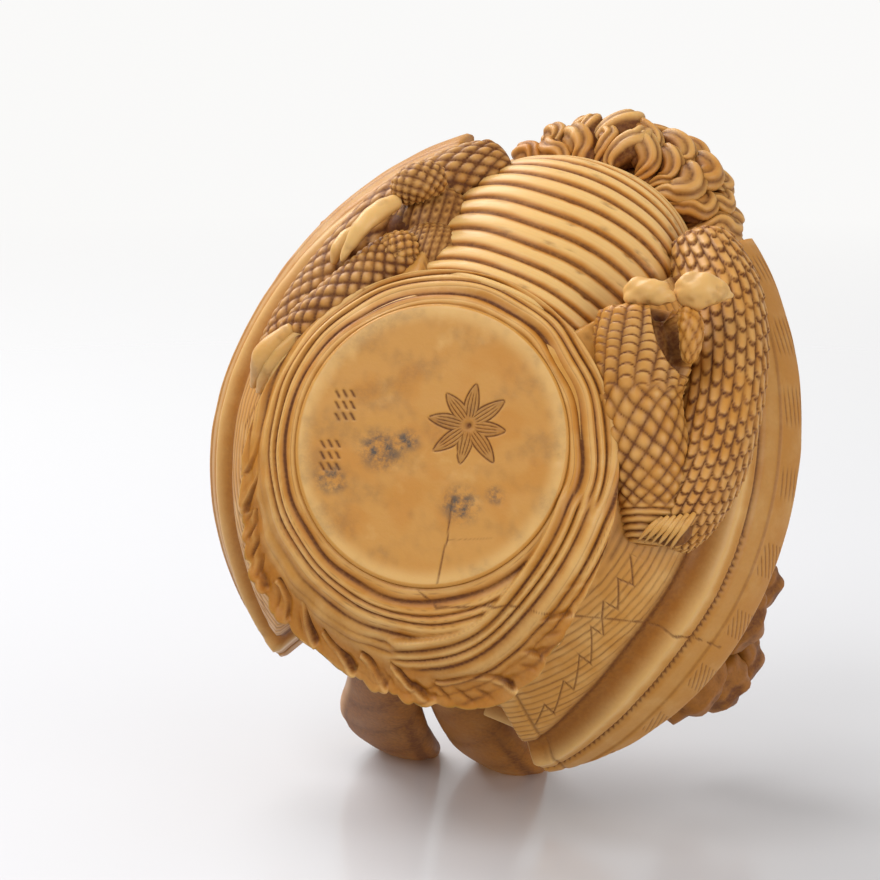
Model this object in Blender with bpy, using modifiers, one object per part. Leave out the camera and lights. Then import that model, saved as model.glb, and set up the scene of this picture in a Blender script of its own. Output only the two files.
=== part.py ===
"""A carved ivory okimono: a treasure ship on breaking waves, with a dragon for its prow.

The whole work is one carved piece, so it is one solid. Each form is modelled by itself, and then all
of them are fused into one skin, pared down to flat facets and cut off level at the foot.

Metres, +Z up. The origin is the middle of the flat foot. The bow points to -Y and the stern to +Y.
A bearing is an angle in plan: 0 is the bow, 90 is the +X side and 180 is the stern.
"""

import math

import bmesh
import bpy
from mathutils import Matrix, Vector

mm = 0.001

# The foot and the hull
foot_radius = 14.3 * mm
beam = 64.0 * mm
length_forward = 38.0 * mm
length_aft = 32.0 * mm
bow_cut = 33.0 * mm
bow_recess = 9.0 * mm
stern_cut = 27.5 * mm
transom_recess = 3.0 * mm
gunwale_height = 24.0 * mm
stern_rise = 5.5 * mm
moulding_relief = 1.3 * mm
rail_thickness = 3.0 * mm
well_depth = 5.0 * mm
deck_share = 0.86

# The two carved wings that stand up at the stern
wing_width = 12.2 * mm
wing_thickness = 5.4 * mm
wing_top = 48.0 * mm
port_wing_reach = 34.4 * mm
starboard_wing_reach = 31.4 * mm

# The waves round the foot
wave_reach = 3.8 * mm
wave_run_astern = 6.4 * mm
wave_height = 5.0 * mm
wave_ridges = 3
ridge_relief = 0.45 * mm
foam_curls = 13
foam_relief = 1.1 * mm

# The dragon
breast_width = 25.0 * mm
breast_depth = 14.0 * mm
breast_ribs = 13
rib_relief = 0.32 * mm
arm_thickness = 9.2 * mm
claw_thickness = 4.0 * mm
head_width = 15.5 * mm
head_height = 44.0 * mm
horn_length = 13.0 * mm
ruff_width = 22.0 * mm
ruff_reach = 38.8 * mm
ruff_height = 32.0 * mm
lock_length = 6.5 * mm
lock_thickness = 4.6 * mm

# The load on deck
sack_radius = 12.0 * mm
bale_thickness = 12.5 * mm
bale_length = 19.0 * mm
jewel_radius = 5.4 * mm
scroll_radius = 2.6 * mm
scroll_length = 15.0 * mm
mallet_radius = 4.6 * mm
mallet_length = 10.0 * mm
coral_radius = 5.2 * mm

# How finely the fused skin is made
skin_voxel = 0.36 * mm
skin_triangles = 9700

deck_height = gunwale_height - well_depth

ivory_colour = (0.72, 0.47, 0.20, 1.0)
ivory_roughness = 0.32

# The front line of the dragon's breast, upwards: share of the length forward, share of the gunwale's height
BREAST_LINE = (
    (0.45, 0.06), (0.54, 0.18), (0.68, 0.35), (0.81, 0.55), (0.89, 0.80), (0.90, 1.12), (0.84, 1.45),
)


def turned(bearing):
    """The unit vector in plan at this bearing in degrees."""
    return Vector((math.sin(math.radians(bearing)), -math.cos(math.radians(bearing)), 0.0))


def polar(bearing, reach, height):
    """A point at this bearing, reach from the middle and height, with the last two in millimetres."""
    return turned(bearing) * reach * mm + Vector((0, 0, height * mm))


def clamp(value, low, high):
    return max(low, min(high, value))


def along(knots, share):
    """A smooth line through the knots, read at a share of its whole run."""
    place = clamp(share, 0.0, 1.0) * (len(knots) - 1)
    i = min(int(place), len(knots) - 2)
    t = place - i
    before, here, after, beyond = (knots[clamp(i + s, 0, len(knots) - 1)] for s in (-1, 0, 1, 2))
    bend = zip(before, here, after, beyond)
    return [
        0.5 * (2 * q + (r - p) * t + (2 * p - 5 * q + 4 * r - s) * t * t + (3 * q - p - 3 * r + s) * t**3)
        for p, q, r, s in bend
    ]


def rim_point(bearing):
    """The gunwale: an oval in plan, cut off across the bow and the stern, that rises astern."""
    out = turned(bearing)
    reach = length_forward if out.y < 0 else length_aft
    astern = transom_recess * clamp((30 - abs(bearing - 180)) / 4, 0, 1)
    ahead = bow_recess * clamp((abs(bearing - 180) - 149) / 6, 0, 1)
    y = clamp(out.y * reach, ahead - bow_cut, stern_cut - astern)
    rise = stern_rise * clamp(y / stern_cut, 0, 1) ** 2
    return Vector((out.x * beam / 2, y, gunwale_height + rise))


def hull_share(level):
    """Share of the way out from the foot to the gunwale, at a share of the way up."""
    return 1.0 - max(0.0, 1.0 - level) ** 1.5


def moulding(level):
    """How far the gunwale's mouldings stand out from the round of the hull."""
    channel = -0.9 * math.exp(-(((level - 0.58) / 0.085) ** 2))
    bead = 0.6 * math.exp(-(((level - 0.74) / 0.055) ** 2))
    groove = -0.55 * math.exp(-(((level - 0.84) / 0.025) ** 2))
    return moulding_relief * (channel + bead + groove)


def hull_point(bearing, level):
    foot = turned(bearing) * foot_radius
    rim = rim_point(bearing)
    point = foot.lerp(rim, hull_share(level)) + moulding(level) * turned(bearing)
    point.z = rim.z * level
    return point


def inner_rail(bearing):
    """The gunwale's inner edge, a rail's thickness in from its outer one."""
    rim = rim_point(bearing)
    return rim - rail_thickness * Vector((2 * rim.x / beam, rim.y / length_aft, 0.0))


def flat(point, height):
    return Vector((point.x, point.y, height))


def new_form(name, data):
    form = bpy.data.objects.new(name, data)
    bpy.data.collections["carving_forms"].objects.link(form)
    form.hide_render = True
    form.display_type = "WIRE"
    return form


def evaluated_mesh(form):
    bpy.context.view_layer.update()
    graph = bpy.context.evaluated_depsgraph_get()
    return bpy.data.meshes.new_from_object(form.evaluated_get(graph), depsgraph=graph)


def lofted(name, rings):
    """A closed body through rings of points, each with as many points, capped at both ends."""
    shape = bmesh.new()
    loops = [[shape.verts.new(point) for point in ring] for ring in rings]
    sides = len(loops[0])
    for low, high in zip(loops, loops[1:]):
        for i in range(sides):
            j = (i + 1) % sides
            shape.faces.new((low[i], low[j], high[j], high[i]))
    for loop in (loops[0], loops[-1]):
        middle = shape.verts.new(sum((vert.co for vert in loop), Vector()) / sides)
        for i in range(sides):
            shape.faces.new((loop[i], loop[(i + 1) % sides], middle))
    bmesh.ops.recalc_face_normals(shape, faces=shape.faces)
    mesh = bpy.data.meshes.new(name)
    shape.to_mesh(mesh)
    shape.free()
    return new_form(name, mesh)


def tapered(name, points, radii, sides=3, steps=6):
    """A round-bodied form along a smooth line through the points, as thick at each as its radius."""
    curve = bpy.data.curves.new(name, "CURVE")
    curve.dimensions = "3D"
    curve.bevel_depth = 1.0
    curve.bevel_resolution = sides
    curve.use_fill_caps = True
    spline = curve.splines.new("BEZIER")
    spline.resolution_u = steps
    spline.bezier_points.add(len(points) - 1)
    for knot, point, radius in zip(spline.bezier_points, points, radii):
        knot.co = point
        knot.radius = radius
        knot.handle_left_type = knot.handle_right_type = "AUTO"
    return new_form(name, curve)


def ball(name, centre, radii, tilt=(0.0, 0.0, 0.0)):
    """A rounded mass: a sphere stretched to the radii and turned by the tilt, in degrees."""
    mesh = bpy.data.meshes.new(name)
    shape = bmesh.new()
    bmesh.ops.create_uvsphere(shape, u_segments=24, v_segments=14, radius=1.0)
    shape.to_mesh(mesh)
    shape.free()
    form = new_form(name, mesh)
    turn = Matrix.Rotation(math.radians(tilt[2]), 4, "Z")
    turn @= Matrix.Rotation(math.radians(tilt[1]), 4, "Y")
    turn @= Matrix.Rotation(math.radians(tilt[0]), 4, "X")
    form.matrix_world = Matrix.Translation(centre) @ turn @ Matrix.Diagonal((*radii, 1.0))
    return form


def hull():
    """The bowl of the ship: rings from the round foot up over the rail and down into the well."""
    bearings = [360 * i / 144 for i in range(144)]
    levels = 40
    rings = [[turned(b) * foot_radius - Vector((0, 0, 1.5 * mm)) for b in bearings]]
    for k in range(levels + 1):
        rings.append([hull_point(b, k / levels) for b in bearings])
    rings.append([inner_rail(b) for b in bearings])
    rings.append([flat(deck_share * inner_rail(b), deck_height) for b in bearings])
    lofted("hull", rings)


def stern_wings():
    """Two rounded wings that stand up from the transom, with the rudder's slot between them."""
    line = ((0.60, 0.25, 0.45), (0.80, 0.50, 0.66), (0.95, 0.76, 0.94), (1.0, 1.0, 1.0))
    for side, reach in ((-1, port_wing_reach), (1, starboard_wing_reach)):
        back = reach - wing_thickness / 2
        rings = []
        for k in range(17):
            share = k / 16
            y, z, flare = along(line, share)
            swell = math.sqrt(max(0.03, 1 - (max(0.0, share - 0.66) / 0.34) ** 2))
            middle = Vector((side * 0.50 * wing_width * flare + 0.1 * wing_width, y * back, z * wing_top))
            wide = swell * flare * wing_width / 2
            deep = swell * wing_thickness / 2
            rings.append([
                middle + Vector((wide * math.cos(a), deep * math.sin(a), 0))
                for a in (2 * math.pi * i / 24 for i in range(24))
            ])
        lofted(f"stern_wing_{side}", rings)


def wave_edge(bearing):
    """How far out, and how high up, the skirt of waves reaches at this bearing."""
    astern = (0.5 - 0.5 * math.cos(math.radians(bearing))) ** 2
    lobe = math.exp(-(((bearing - 146) / 17) ** 2))
    reach = foot_radius + wave_reach + wave_run_astern * (astern + 0.42 * lobe)
    return reach, wave_height * (0.45 + 0.75 * astern + 0.25 * lobe)


def wave_point(bearing, share):
    """A point on the waves: share 0 is the foot's edge and 1 is the foam along the outer edge."""
    reach, height = wave_edge(bearing)
    swirl = math.cos(2 * math.pi * (wave_ridges * share + 0.08 * math.sin(math.radians(2 * bearing))))
    rise = 0.5 * mm + (height - 0.5 * mm) * share**1.25
    ridge = -ridge_relief * swirl * min(1.0, 5 * share)
    astern = clamp((abs(bearing) - 100) / 35, 0, 1) if bearing <= 180 else clamp((260 - bearing) / 35, 0, 1)
    foam = foam_relief * astern * abs(math.sin(math.radians(bearing) * foam_curls)) * share**6
    out = turned(bearing) * (foot_radius + (reach - foot_radius) * share + foam)
    return out + Vector((0, 0, max(0.25 * mm, rise + ridge - 0.6 * foam)))


def waves():
    bearings = [360 * i / 180 for i in range(180)]
    steps = 7 * wave_ridges
    rings = [[turned(b) * (foot_radius - 0.4 * mm) - Vector((0, 0, 1.5 * mm)) for b in bearings]]
    rings.append([turned(b) * foot_radius for b in bearings])
    rings += [[wave_point(b, k / steps) for b in bearings] for k in range(steps + 1)]
    for lift in (1.2 * mm, 3.0 * mm):
        rings.append([wave_point(b, 0.96) + Vector((0, 0, lift)) - turned(b) * lift for b in bearings])
    lofted("waves", rings)


def breast_point(share, swing):
    """A point on the breast: share runs up the belly plates and swing, in radians, runs round it."""
    y, z = along(BREAST_LINE, share)
    y_next, z_next = along(BREAST_LINE, share + 0.02)
    y_last, z_last = along(BREAST_LINE, share - 0.02)
    run = Vector((0, -(y_next - y_last) * length_forward, (z_next - z_last) * gunwale_height)).normalized()
    front = Vector((0, -run.z, run.y))
    half = 0.5 * breast_width * (0.86 + 0.14 * math.sin(math.pi * min(1.0, share * 1.25)))
    depth = 0.5 * breast_depth
    rib = abs(math.sin(math.pi * breast_ribs * min(share, 0.8) / 0.8)) ** 0.6 - 0.6
    round_it = Vector((half * math.sin(swing), 0, 0)) + front * (depth * (math.cos(swing) - 1))
    middle = Vector((0, -y * length_forward, z * gunwale_height))
    return middle + round_it + front * rib_relief * rib * max(0.0, math.cos(swing))


def breast():
    """The ribbed breast and throat: a wide curved barrel with a ridge for each belly plate."""
    steps = breast_ribs * 6
    swings = [2 * math.pi * i / 36 for i in range(36)]
    lofted("breast", [[breast_point(k / steps, s) for s in swings] for k in range(steps + 1)])


def limb(name, knots, thickness):
    """A muscled limb through knots of bearing, reach, height and share of the full thickness."""
    points = [polar(*knot[:3]) for knot in knots]
    radii = [0.5 * thickness * knot[3] for knot in knots]
    tapered(name, points, radii, sides=5, steps=8)


def foreleg(side):
    """A foreleg along the hull: the shoulder under the rail, the elbow, the forearm and the paw."""
    name = "foreleg_right" if side > 0 else "foreleg_left"
    upper = (
        (22, 32.0, 20.0, 0.85), (35, 30.5, 16.5, 1.0), (50, 28.2, 13.2, 1.0),
        (68, 26.0, 10.4, 0.95), (82, 24.4, 8.8, 0.85), (91, 23.4, 8.4, 0.55),
    )
    lower = (
        (93, 22.8, 8.0, 0.50), (84, 21.8, 7.4, 0.75), (72, 20.8, 6.6, 0.95),
        (54, 20.3, 6.0, 1.00), (40, 21.6, 6.2, 0.95), (33, 23.0, 6.6, 0.70),
    )
    limb(name + "_upper", [(side * b, r, z, t) for b, r, z, t in upper], arm_thickness)
    limb(name + "_lower", [(side * b, r, z, t) for b, r, z, t in lower], arm_thickness)
    for k in range(4):
        root = polar(side * (89 + k), 21.0 + 1.5 * k, 6.4 + 0.8 * k)
        tip = polar(side * (98 + k), 21.4 + 1.5 * k, 8.0 + 1.0 * k)
        tapered(f"{name}_tuft_{k}", (root, tip), (0.2 * arm_thickness, 0.08 * arm_thickness))
    claws = (
        ((30, 22.5, 4.4), (31, 25.5, 3.8), (36, 29.0, 6.0)),
        ((35, 28.0, 7.0), (37, 30.5, 6.2), (41, 33.0, 8.5)),
        ((38, 27.0, 6.5), (46, 26.4, 4.6), (54, 24.6, 5.2)),
    )
    half = 0.5 * claw_thickness
    for k, claw in enumerate(claws):
        line = [polar(side * b, r, z) for b, r, z in claw]
        tapered(f"{name}_claw_{k}", line, (half, half, 0.4 * half))


def head():
    """The dragon's head above the beard: long snout, heavy brows, horns swept back, facing the bow."""
    half = head_width / 2
    middle = Vector((0, -0.74 * length_forward, head_height))

    def at(x, y, z):
        return middle + half * Vector((x, y, z))

    ball("skull", at(0, 0.1, 0.15), (0.92 * half, 1.1 * half, 0.8 * half))
    ball("neck", at(0, 0.35, -0.9), (1.15 * half, 1.15 * half, 1.4 * half))
    ball("snout", at(0, -0.85, 0.08), (0.6 * half, 0.8 * half, 0.38 * half), (-6, 0, 0))
    ball("jaw", at(0, -0.72, -0.5), (0.54 * half, 0.78 * half, 0.22 * half), (12, 0, 0))
    for side in (-1, 1):
        ball(f"nostril_{side}", at(0.3 * side, -1.45, 0.26), [0.22 * half] * 3)
        ball(f"eye_{side}", at(0.5 * side, -0.62, 0.5), [0.22 * half] * 3)
        brow = (at(0.12 * side, -0.95, 0.6), at(0.6 * side, -0.6, 0.85), at(1.0 * side, 0.1, 0.75))
        tapered(f"brow_{side}", brow, (0.14 * half, 0.22 * half, 0.08 * half))
        reach = horn_length / half
        horn = (
            at(0.4 * side, 0.1, 0.7),
            at(0.5 * side, 0.1 + 0.42 * reach, 0.7 + 0.42 * reach),
            at(0.62 * side, 0.1 + 0.8 * reach, 0.7 + 0.5 * reach),
        )
        tapered(f"horn_{side}", horn, (0.24 * half, 0.18 * half, 0.08 * half))
        whisker = (at(0.42 * side, -1.3, 0.0), at(0.95 * side, -1.1, -0.15), at(1.2 * side, -0.4, 0.1))
        tapered(f"whisker_{side}", whisker, (0.13 * half, 0.12 * half, 0.1 * half))
        ear = (0.28 * half, 0.5 * half, 0.2 * half)
        ball(f"ear_{side}", at(0.98 * side, 0.35, 0.3), ear, (0, 0, -35 * side))


def lock(name, root, way, curl, size):
    """A lock of hair that swells from its root and hooks round at its tip."""
    run = lock_length * size
    bend = root + run * (0.72 * way + 0.30 * curl)
    tip = root + run * (0.60 * way + 0.62 * curl)
    line = (root, root + 0.45 * run * way, bend, tip)
    half = 0.5 * lock_thickness * size
    tapered(name, line, (0.9 * half, 1.1 * half, 0.85 * half, 0.3 * half))


def beard():
    """The beard and mane: a ruff of curled locks round the throat, under the jaw."""
    half = Vector((ruff_width / 2, 0.4 * ruff_width, 0.23 * ruff_width))
    middle = Vector((0, half.y - ruff_reach, ruff_height))
    ball("ruff", middle, half)
    rows = ((7, 66, -34), (8, 78, -4), (8, 84, 28))
    for row, (count, spread, climb) in enumerate(rows):
        for k in range(count):
            out = turned(spread * (2 * k / (count - 1) - 1)) * math.cos(math.radians(climb))
            out.z = math.sin(math.radians(climb))
            root = middle + Vector((0.82 * half.x * out.x, 0.82 * half.y * out.y, 0.82 * half.z * out.z))
            turn = 1 if (k + row) % 2 else -1
            curl = (Vector((-out.y, out.x, 0)) * turn + Vector((0, 0, 0.3))).normalized()
            way = (out + Vector((0, 0, -0.1))).normalized()
            lock(f"lock_{row}_{k}", root, way, curl, 0.9 + 0.1 * (k % 2))


def sack():
    """A bulging sack, tied at the neck."""
    middle = Vector((-0.10 * beam, 0.30 * length_aft, deck_height + 0.9 * sack_radius))
    ball("sack", middle, (1.15 * sack_radius, 0.95 * sack_radius, 1.05 * sack_radius), (8, -10, 0))
    neck = middle + Vector((-0.1, -0.25, 1.05)) * sack_radius
    flare = neck + Vector((-0.1, -0.2, 0.28)) * sack_radius
    tapered("sack_neck", (middle, neck, flare), (0.5 * sack_radius, 0.2 * sack_radius, 0.4 * sack_radius))


def bales():
    """Straw bales of rice: two side by side along the port rail and one on top."""
    half = bale_thickness / 2
    lie = Vector((0.25, 1.0, 0.0)).normalized() * bale_length / 2
    for k in range(3):
        row, step = divmod(k, 2)
        place = Vector((-0.33 * beam, -0.28 * length_forward, deck_height + half * (0.8 + 1.6 * row)))
        place.x += (step + 0.5 * row) * 1.85 * half
        tapered(f"bale_{k}", (place - lie, place, place + lie), (0.85 * half, half, 0.85 * half), sides=4)


def treasures():
    """A wishing jewel, rolled scrolls and a lucky mallet, on the starboard deck."""
    jewel = Vector((0.25 * beam, -0.37 * length_forward, deck_height + 0.75 * jewel_radius))
    ball("jewel", jewel, [jewel_radius] * 3)
    point = jewel + Vector((0, 0, 1.7 * jewel_radius))
    tapered("jewel_point", (jewel, point), (0.85 * jewel_radius, 0.08 * jewel_radius))
    for k in range(3):
        row, step = divmod(k, 2)
        lie = Vector((1.0, 0.35 - 0.3 * row, 0.0)).normalized() * scroll_length / 2
        place = Vector((0.16 * beam, -0.06 * length_forward, deck_height + (0.7 + 1.6 * row) * scroll_radius))
        place.y += (step + 0.5 * row) * 1.9 * scroll_radius
        tapered(f"scroll_{k}", (place - lie, place + lie), (scroll_radius, scroll_radius), sides=4)
    mallet = Vector((0.20 * beam, 0.52 * length_aft, deck_height + 0.8 * mallet_radius))
    lie = Vector((0.9, 0.3, 0.0)).normalized() * mallet_length / 2
    swell = (0.9 * mallet_radius, mallet_radius, 0.9 * mallet_radius)
    tapered("mallet_head", (mallet - lie, mallet, mallet + lie), swell, sides=5)
    grip = mallet + Vector((0.1, -0.3, 1.9)) * mallet_radius
    tapered("mallet_handle", (mallet, grip), (0.26 * mallet_radius, 0.32 * mallet_radius))


def coral():
    """A knobbly branch of coral that leans out over the starboard rail."""
    for k in range(9):
        place = Vector((
            (0.385 + 0.045 * math.sin(2.4 * k)) * beam,
            (0.20 + 0.20 * math.cos(1.9 * k)) * length_aft,
            gunwale_height + (1.6 + 0.3 * k) * coral_radius,
        ))
        size = coral_radius * (1.0 - 0.04 * k)
        ball(f"coral_{k}", place, (size, 0.9 * size, 0.8 * size), (25 * k, 40 * k, 0))
    trunk = Vector((0.30 * beam, 0.20 * length_aft, 0.9 * deck_height))
    crown = trunk + Vector((0.06 * beam, 0, 4 * coral_radius))
    tapered("coral_trunk", (trunk, crown), (1.3 * coral_radius, coral_radius))


def drop_crumbs(shape):
    """Keep the outer skin alone: no pocket sealed between two forms, and no chip of a thin edge."""
    skins = []
    unseen = set(shape.verts)
    while unseen:
        front = [unseen.pop()]
        skin = set(front)
        while front:
            vert = front.pop()
            for edge in vert.link_edges:
                near = edge.other_vert(vert)
                if near in unseen:
                    unseen.discard(near)
                    skin.add(near)
                    front.append(near)
        skins.append(skin)
    outer = max(skins, key=len)
    bmesh.ops.delete(shape, geom=[vert for vert in shape.verts if vert not in outer], context="VERTS")


def fused(name):
    """One closed skin round all the forms, pared to flat facets and cut level at the foot."""
    whole = bmesh.new()
    for form in list(bpy.data.collections["carving_forms"].objects):
        mesh = evaluated_mesh(form)
        mesh.transform(form.matrix_world)
        whole.from_mesh(mesh)
        bpy.data.meshes.remove(mesh)
    mesh = bpy.data.meshes.new(name)
    whole.to_mesh(mesh)
    whole.free()
    skin = bpy.data.objects.new(name, mesh)
    bpy.data.collections["okimono"].objects.link(skin)
    remesh = skin.modifiers.new("fuse", "REMESH")
    remesh.mode = "VOXEL"
    remesh.voxel_size = skin_voxel
    faces = len(evaluated_mesh(skin).polygons)
    pare = skin.modifiers.new("pare", "DECIMATE")
    pare.ratio = skin_triangles / (2 * faces)
    pared = bmesh.new()
    pared.from_mesh(evaluated_mesh(skin))
    everything = pared.verts[:] + pared.edges[:] + pared.faces[:]
    level = bmesh.ops.bisect_plane(
        pared, geom=everything, dist=0.01 * mm, plane_co=(0, 0, 0), plane_no=(0, 0, -1), clear_outer=True
    )
    edges = [part for part in level["geom_cut"] if isinstance(part, bmesh.types.BMEdge)]
    bmesh.ops.holes_fill(pared, edges=edges)
    drop_crumbs(pared)
    bmesh.ops.triangulate(pared, faces=pared.faces)
    skin.modifiers.clear()
    pared.to_mesh(skin.data)
    pared.free()
    return skin


def ivory():
    material = bpy.data.materials.new("ivory")
    material.use_nodes = True
    shader = material.node_tree.nodes["Principled BSDF"]
    shader.inputs["Base Color"].default_value = ivory_colour
    shader.inputs["Roughness"].default_value = ivory_roughness
    shader.inputs["Metallic"].default_value = 0.0
    return material


def main():
    for obj in list(bpy.data.objects):
        bpy.data.objects.remove(obj)
    for name in ("okimono", "carving_forms"):
        bpy.context.scene.collection.children.link(bpy.data.collections.new(name))
    hull()
    stern_wings()
    waves()
    breast()
    for side in (-1, 1):
        foreleg(side)
    head()
    beard()
    sack()
    bales()
    treasures()
    coral()
    okimono = fused("okimono")
    okimono.data.materials.append(ivory())


main()
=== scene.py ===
"""A carved ivory okimono: a treasure ship on breaking waves, with a dragon for its prow.

Laid out as a Blender add-on and run as a script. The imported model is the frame, and each operator
carves one part of the fine surface that stands in its place.

Metres, +Z up. The origin is the middle of the flat foot. The bow points to -Y and the stern to +Y.
A bearing is an angle in plan, in degrees: 0 is the bow, 90 is the +X side and 180 is the stern.
The photograph looks up at the foot, so +X is to its right and -Y is up.
"""

import math

import bpy
import numpy as np
from mathutils import Matrix, Vector


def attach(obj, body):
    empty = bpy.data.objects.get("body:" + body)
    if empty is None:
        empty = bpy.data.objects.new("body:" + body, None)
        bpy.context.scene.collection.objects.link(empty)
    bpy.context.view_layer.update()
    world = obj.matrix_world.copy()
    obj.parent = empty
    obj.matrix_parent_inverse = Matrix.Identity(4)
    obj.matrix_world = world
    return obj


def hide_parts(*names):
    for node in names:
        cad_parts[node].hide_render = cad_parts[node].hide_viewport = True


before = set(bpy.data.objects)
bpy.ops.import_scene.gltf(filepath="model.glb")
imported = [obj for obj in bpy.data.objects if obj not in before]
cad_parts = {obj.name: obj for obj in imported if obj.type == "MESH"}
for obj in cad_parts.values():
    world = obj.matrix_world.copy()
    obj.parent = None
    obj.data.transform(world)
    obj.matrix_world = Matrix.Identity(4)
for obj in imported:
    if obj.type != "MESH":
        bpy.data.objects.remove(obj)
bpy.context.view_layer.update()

bl_info = {
    "name": "Carved ivory treasure ship",
    "version": (1, 0, 0),
    "blender": (4, 5, 0),
    "location": "View3D > Sidebar > Okimono",
    "description": "Carves a treasure ship with a dragon prow, breaking waves and its load",
    "category": "Add Mesh",
}

mm = 0.001

# The foot and the hull
foot_radius = 14.3 * mm
beam = 64.0 * mm
length_forward = 38.0 * mm
length_aft = 32.0 * mm
bow_cut = 33.0 * mm
bow_recess = 9.0 * mm
stern_cut = 27.5 * mm
transom_recess = 3.0 * mm
gunwale_height = 24.0 * mm
stern_rise = 5.5 * mm
moulding_relief = 1.3 * mm
rail_thickness = 3.0 * mm
well_depth = 5.0 * mm
deck_height = gunwale_height - well_depth
deck_share = 0.86
slope_length = 1.28 * gunwale_height

# The mouldings along the side, as shares of the gunwale's height, and how fast they climb astern
channel_level = 0.555
bead_level = 0.625
groove_level = 0.72
band_level = 0.82
mould_climb = 1.27e-4

# The cuts along the side. The zigzag's line is in bearings and levels, and the pitches are in degrees.
ZIGZAG_LINE = ((97, 0.33), (115, 0.355), (135, 0.52), (147, 0.63))
zigzag_pitch = 7.2
tooth_pitch = 1.34
hatch_pitch = 12.5
hatch_start = 87.0

# The two carved wings at the stern. Their line says how far aft, how high and how wide, as shares.
wing_width = 12.2 * mm
wing_thickness = 5.4 * mm
wing_top = 48.0 * mm
wing_reaches = {-1: 34.4 * mm, 1: 31.4 * mm}
WING_LINE = ((0.60, 0.25, 0.45), (0.80, 0.50, 0.66), (0.95, 0.76, 0.94), (1.0, 1.0, 1.0))

# The waves round the foot
wave_reach = 3.8 * mm
wave_run_astern = 6.4 * mm
wave_height = 5.0 * mm
ridge_pitch = 1.20 * mm
foam_curls = 15
foam_tips = 37
lobe_bearing = 146
lobe_spread = 17
calm_bearing = 214

# The dragon. The breast's line says how far forward and how high, as shares of the hull's own.
breast_width = 25.0 * mm
breast_depth = 14.0 * mm
breast_ribs = 13
arm_thickness = 9.2 * mm
head_width = 15.5 * mm
head_height = 44.0 * mm
horn_length = 13.0 * mm
ruff_width = 22.0 * mm
ruff_reach = 38.8 * mm
ruff_height = 32.0 * mm
lock_thickness = 4.6 * mm
BREAST_LINE = (
    (0.45, 0.06), (0.54, 0.18), (0.68, 0.35), (0.81, 0.55), (0.89, 0.80), (0.90, 1.12), (0.84, 1.45),
)

# The load on deck
sack_radius = 12.0 * mm
bale_thickness = 12.5 * mm
bale_length = 19.0 * mm
jewel_radius = 5.4 * mm
scroll_radius = 2.6 * mm
scroll_length = 15.0 * mm
mallet_radius = 4.6 * mm
mallet_length = 10.0 * mm
coral_radius = 5.2 * mm

# Places on the foot, in plan: the flower round the nerve hole, the crack and its branch, a chip, the
# two groups of ticks, and the grey patches, which are in millimetres with their radii
flower_place = (2.96 * mm, -3.25 * mm)
crack_line = ((4.30 * mm, 4.26 * mm), (5.38 * mm, 8.13 * mm), (6.30 * mm, 13.9 * mm))
crack_branch = (crack_line[1], (9.6 * mm, 6.3 * mm))
chip_place = (12.9 * mm, -3.3 * mm)
nerve_hole = 0.30 * mm
flower_turn = 11.5
petal_step = 45.0
tick_places = ((-9.95 * mm, -0.52 * mm), (-9.43 * mm, 4.72 * mm))
GREY_PATCHES = (
    ((-4.7, 2.35), 2.3), ((5.3, 4.4), 2.0), ((8.3, 2.2), 1.0), ((-8.4, 7.0), 1.6), ((-2.4, 0.4), 1.2),
)

# The hairline crack over the waves and the ship's side, in the photograph's pixels
CRACK_PIXELS = (
    (372, 534), (400, 574), (437, 607), (508, 605), (548, 614), (608, 619), (641, 622), (660, 626),
    (673, 636), (698, 639), (721, 648),
)

# The hollow of the starboard paw, in the photograph's pixels: its two ends and half its width
PAW_HOLLOW = ((652, 290), (690, 382))
paw_hollow_half = 13

# The photograph's camera: its place, its right and down, its lens and sensor in millimetres, and the
# picture's width in pixels
camera_place = Vector((118.13, -0.838, -361.173)) * mm
camera_right = Vector((0.88180, -0.37461, 0.28652))
camera_down = Vector((0.35627, 0.92718, 0.11576))
camera_lens = 155.5
sensor_width = 36.0
picture_width = 880.0
object_middle = Vector((0.0, 0.0, 22.0)) * mm

# The strength of the studio's white surround, as light and as the camera sees it
surround_light = 0.56
surround_seen = 0.955

up = np.array((0.0, 0.0, 1.0))
below = np.array((0.0, 0.0, -1.0))


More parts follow.
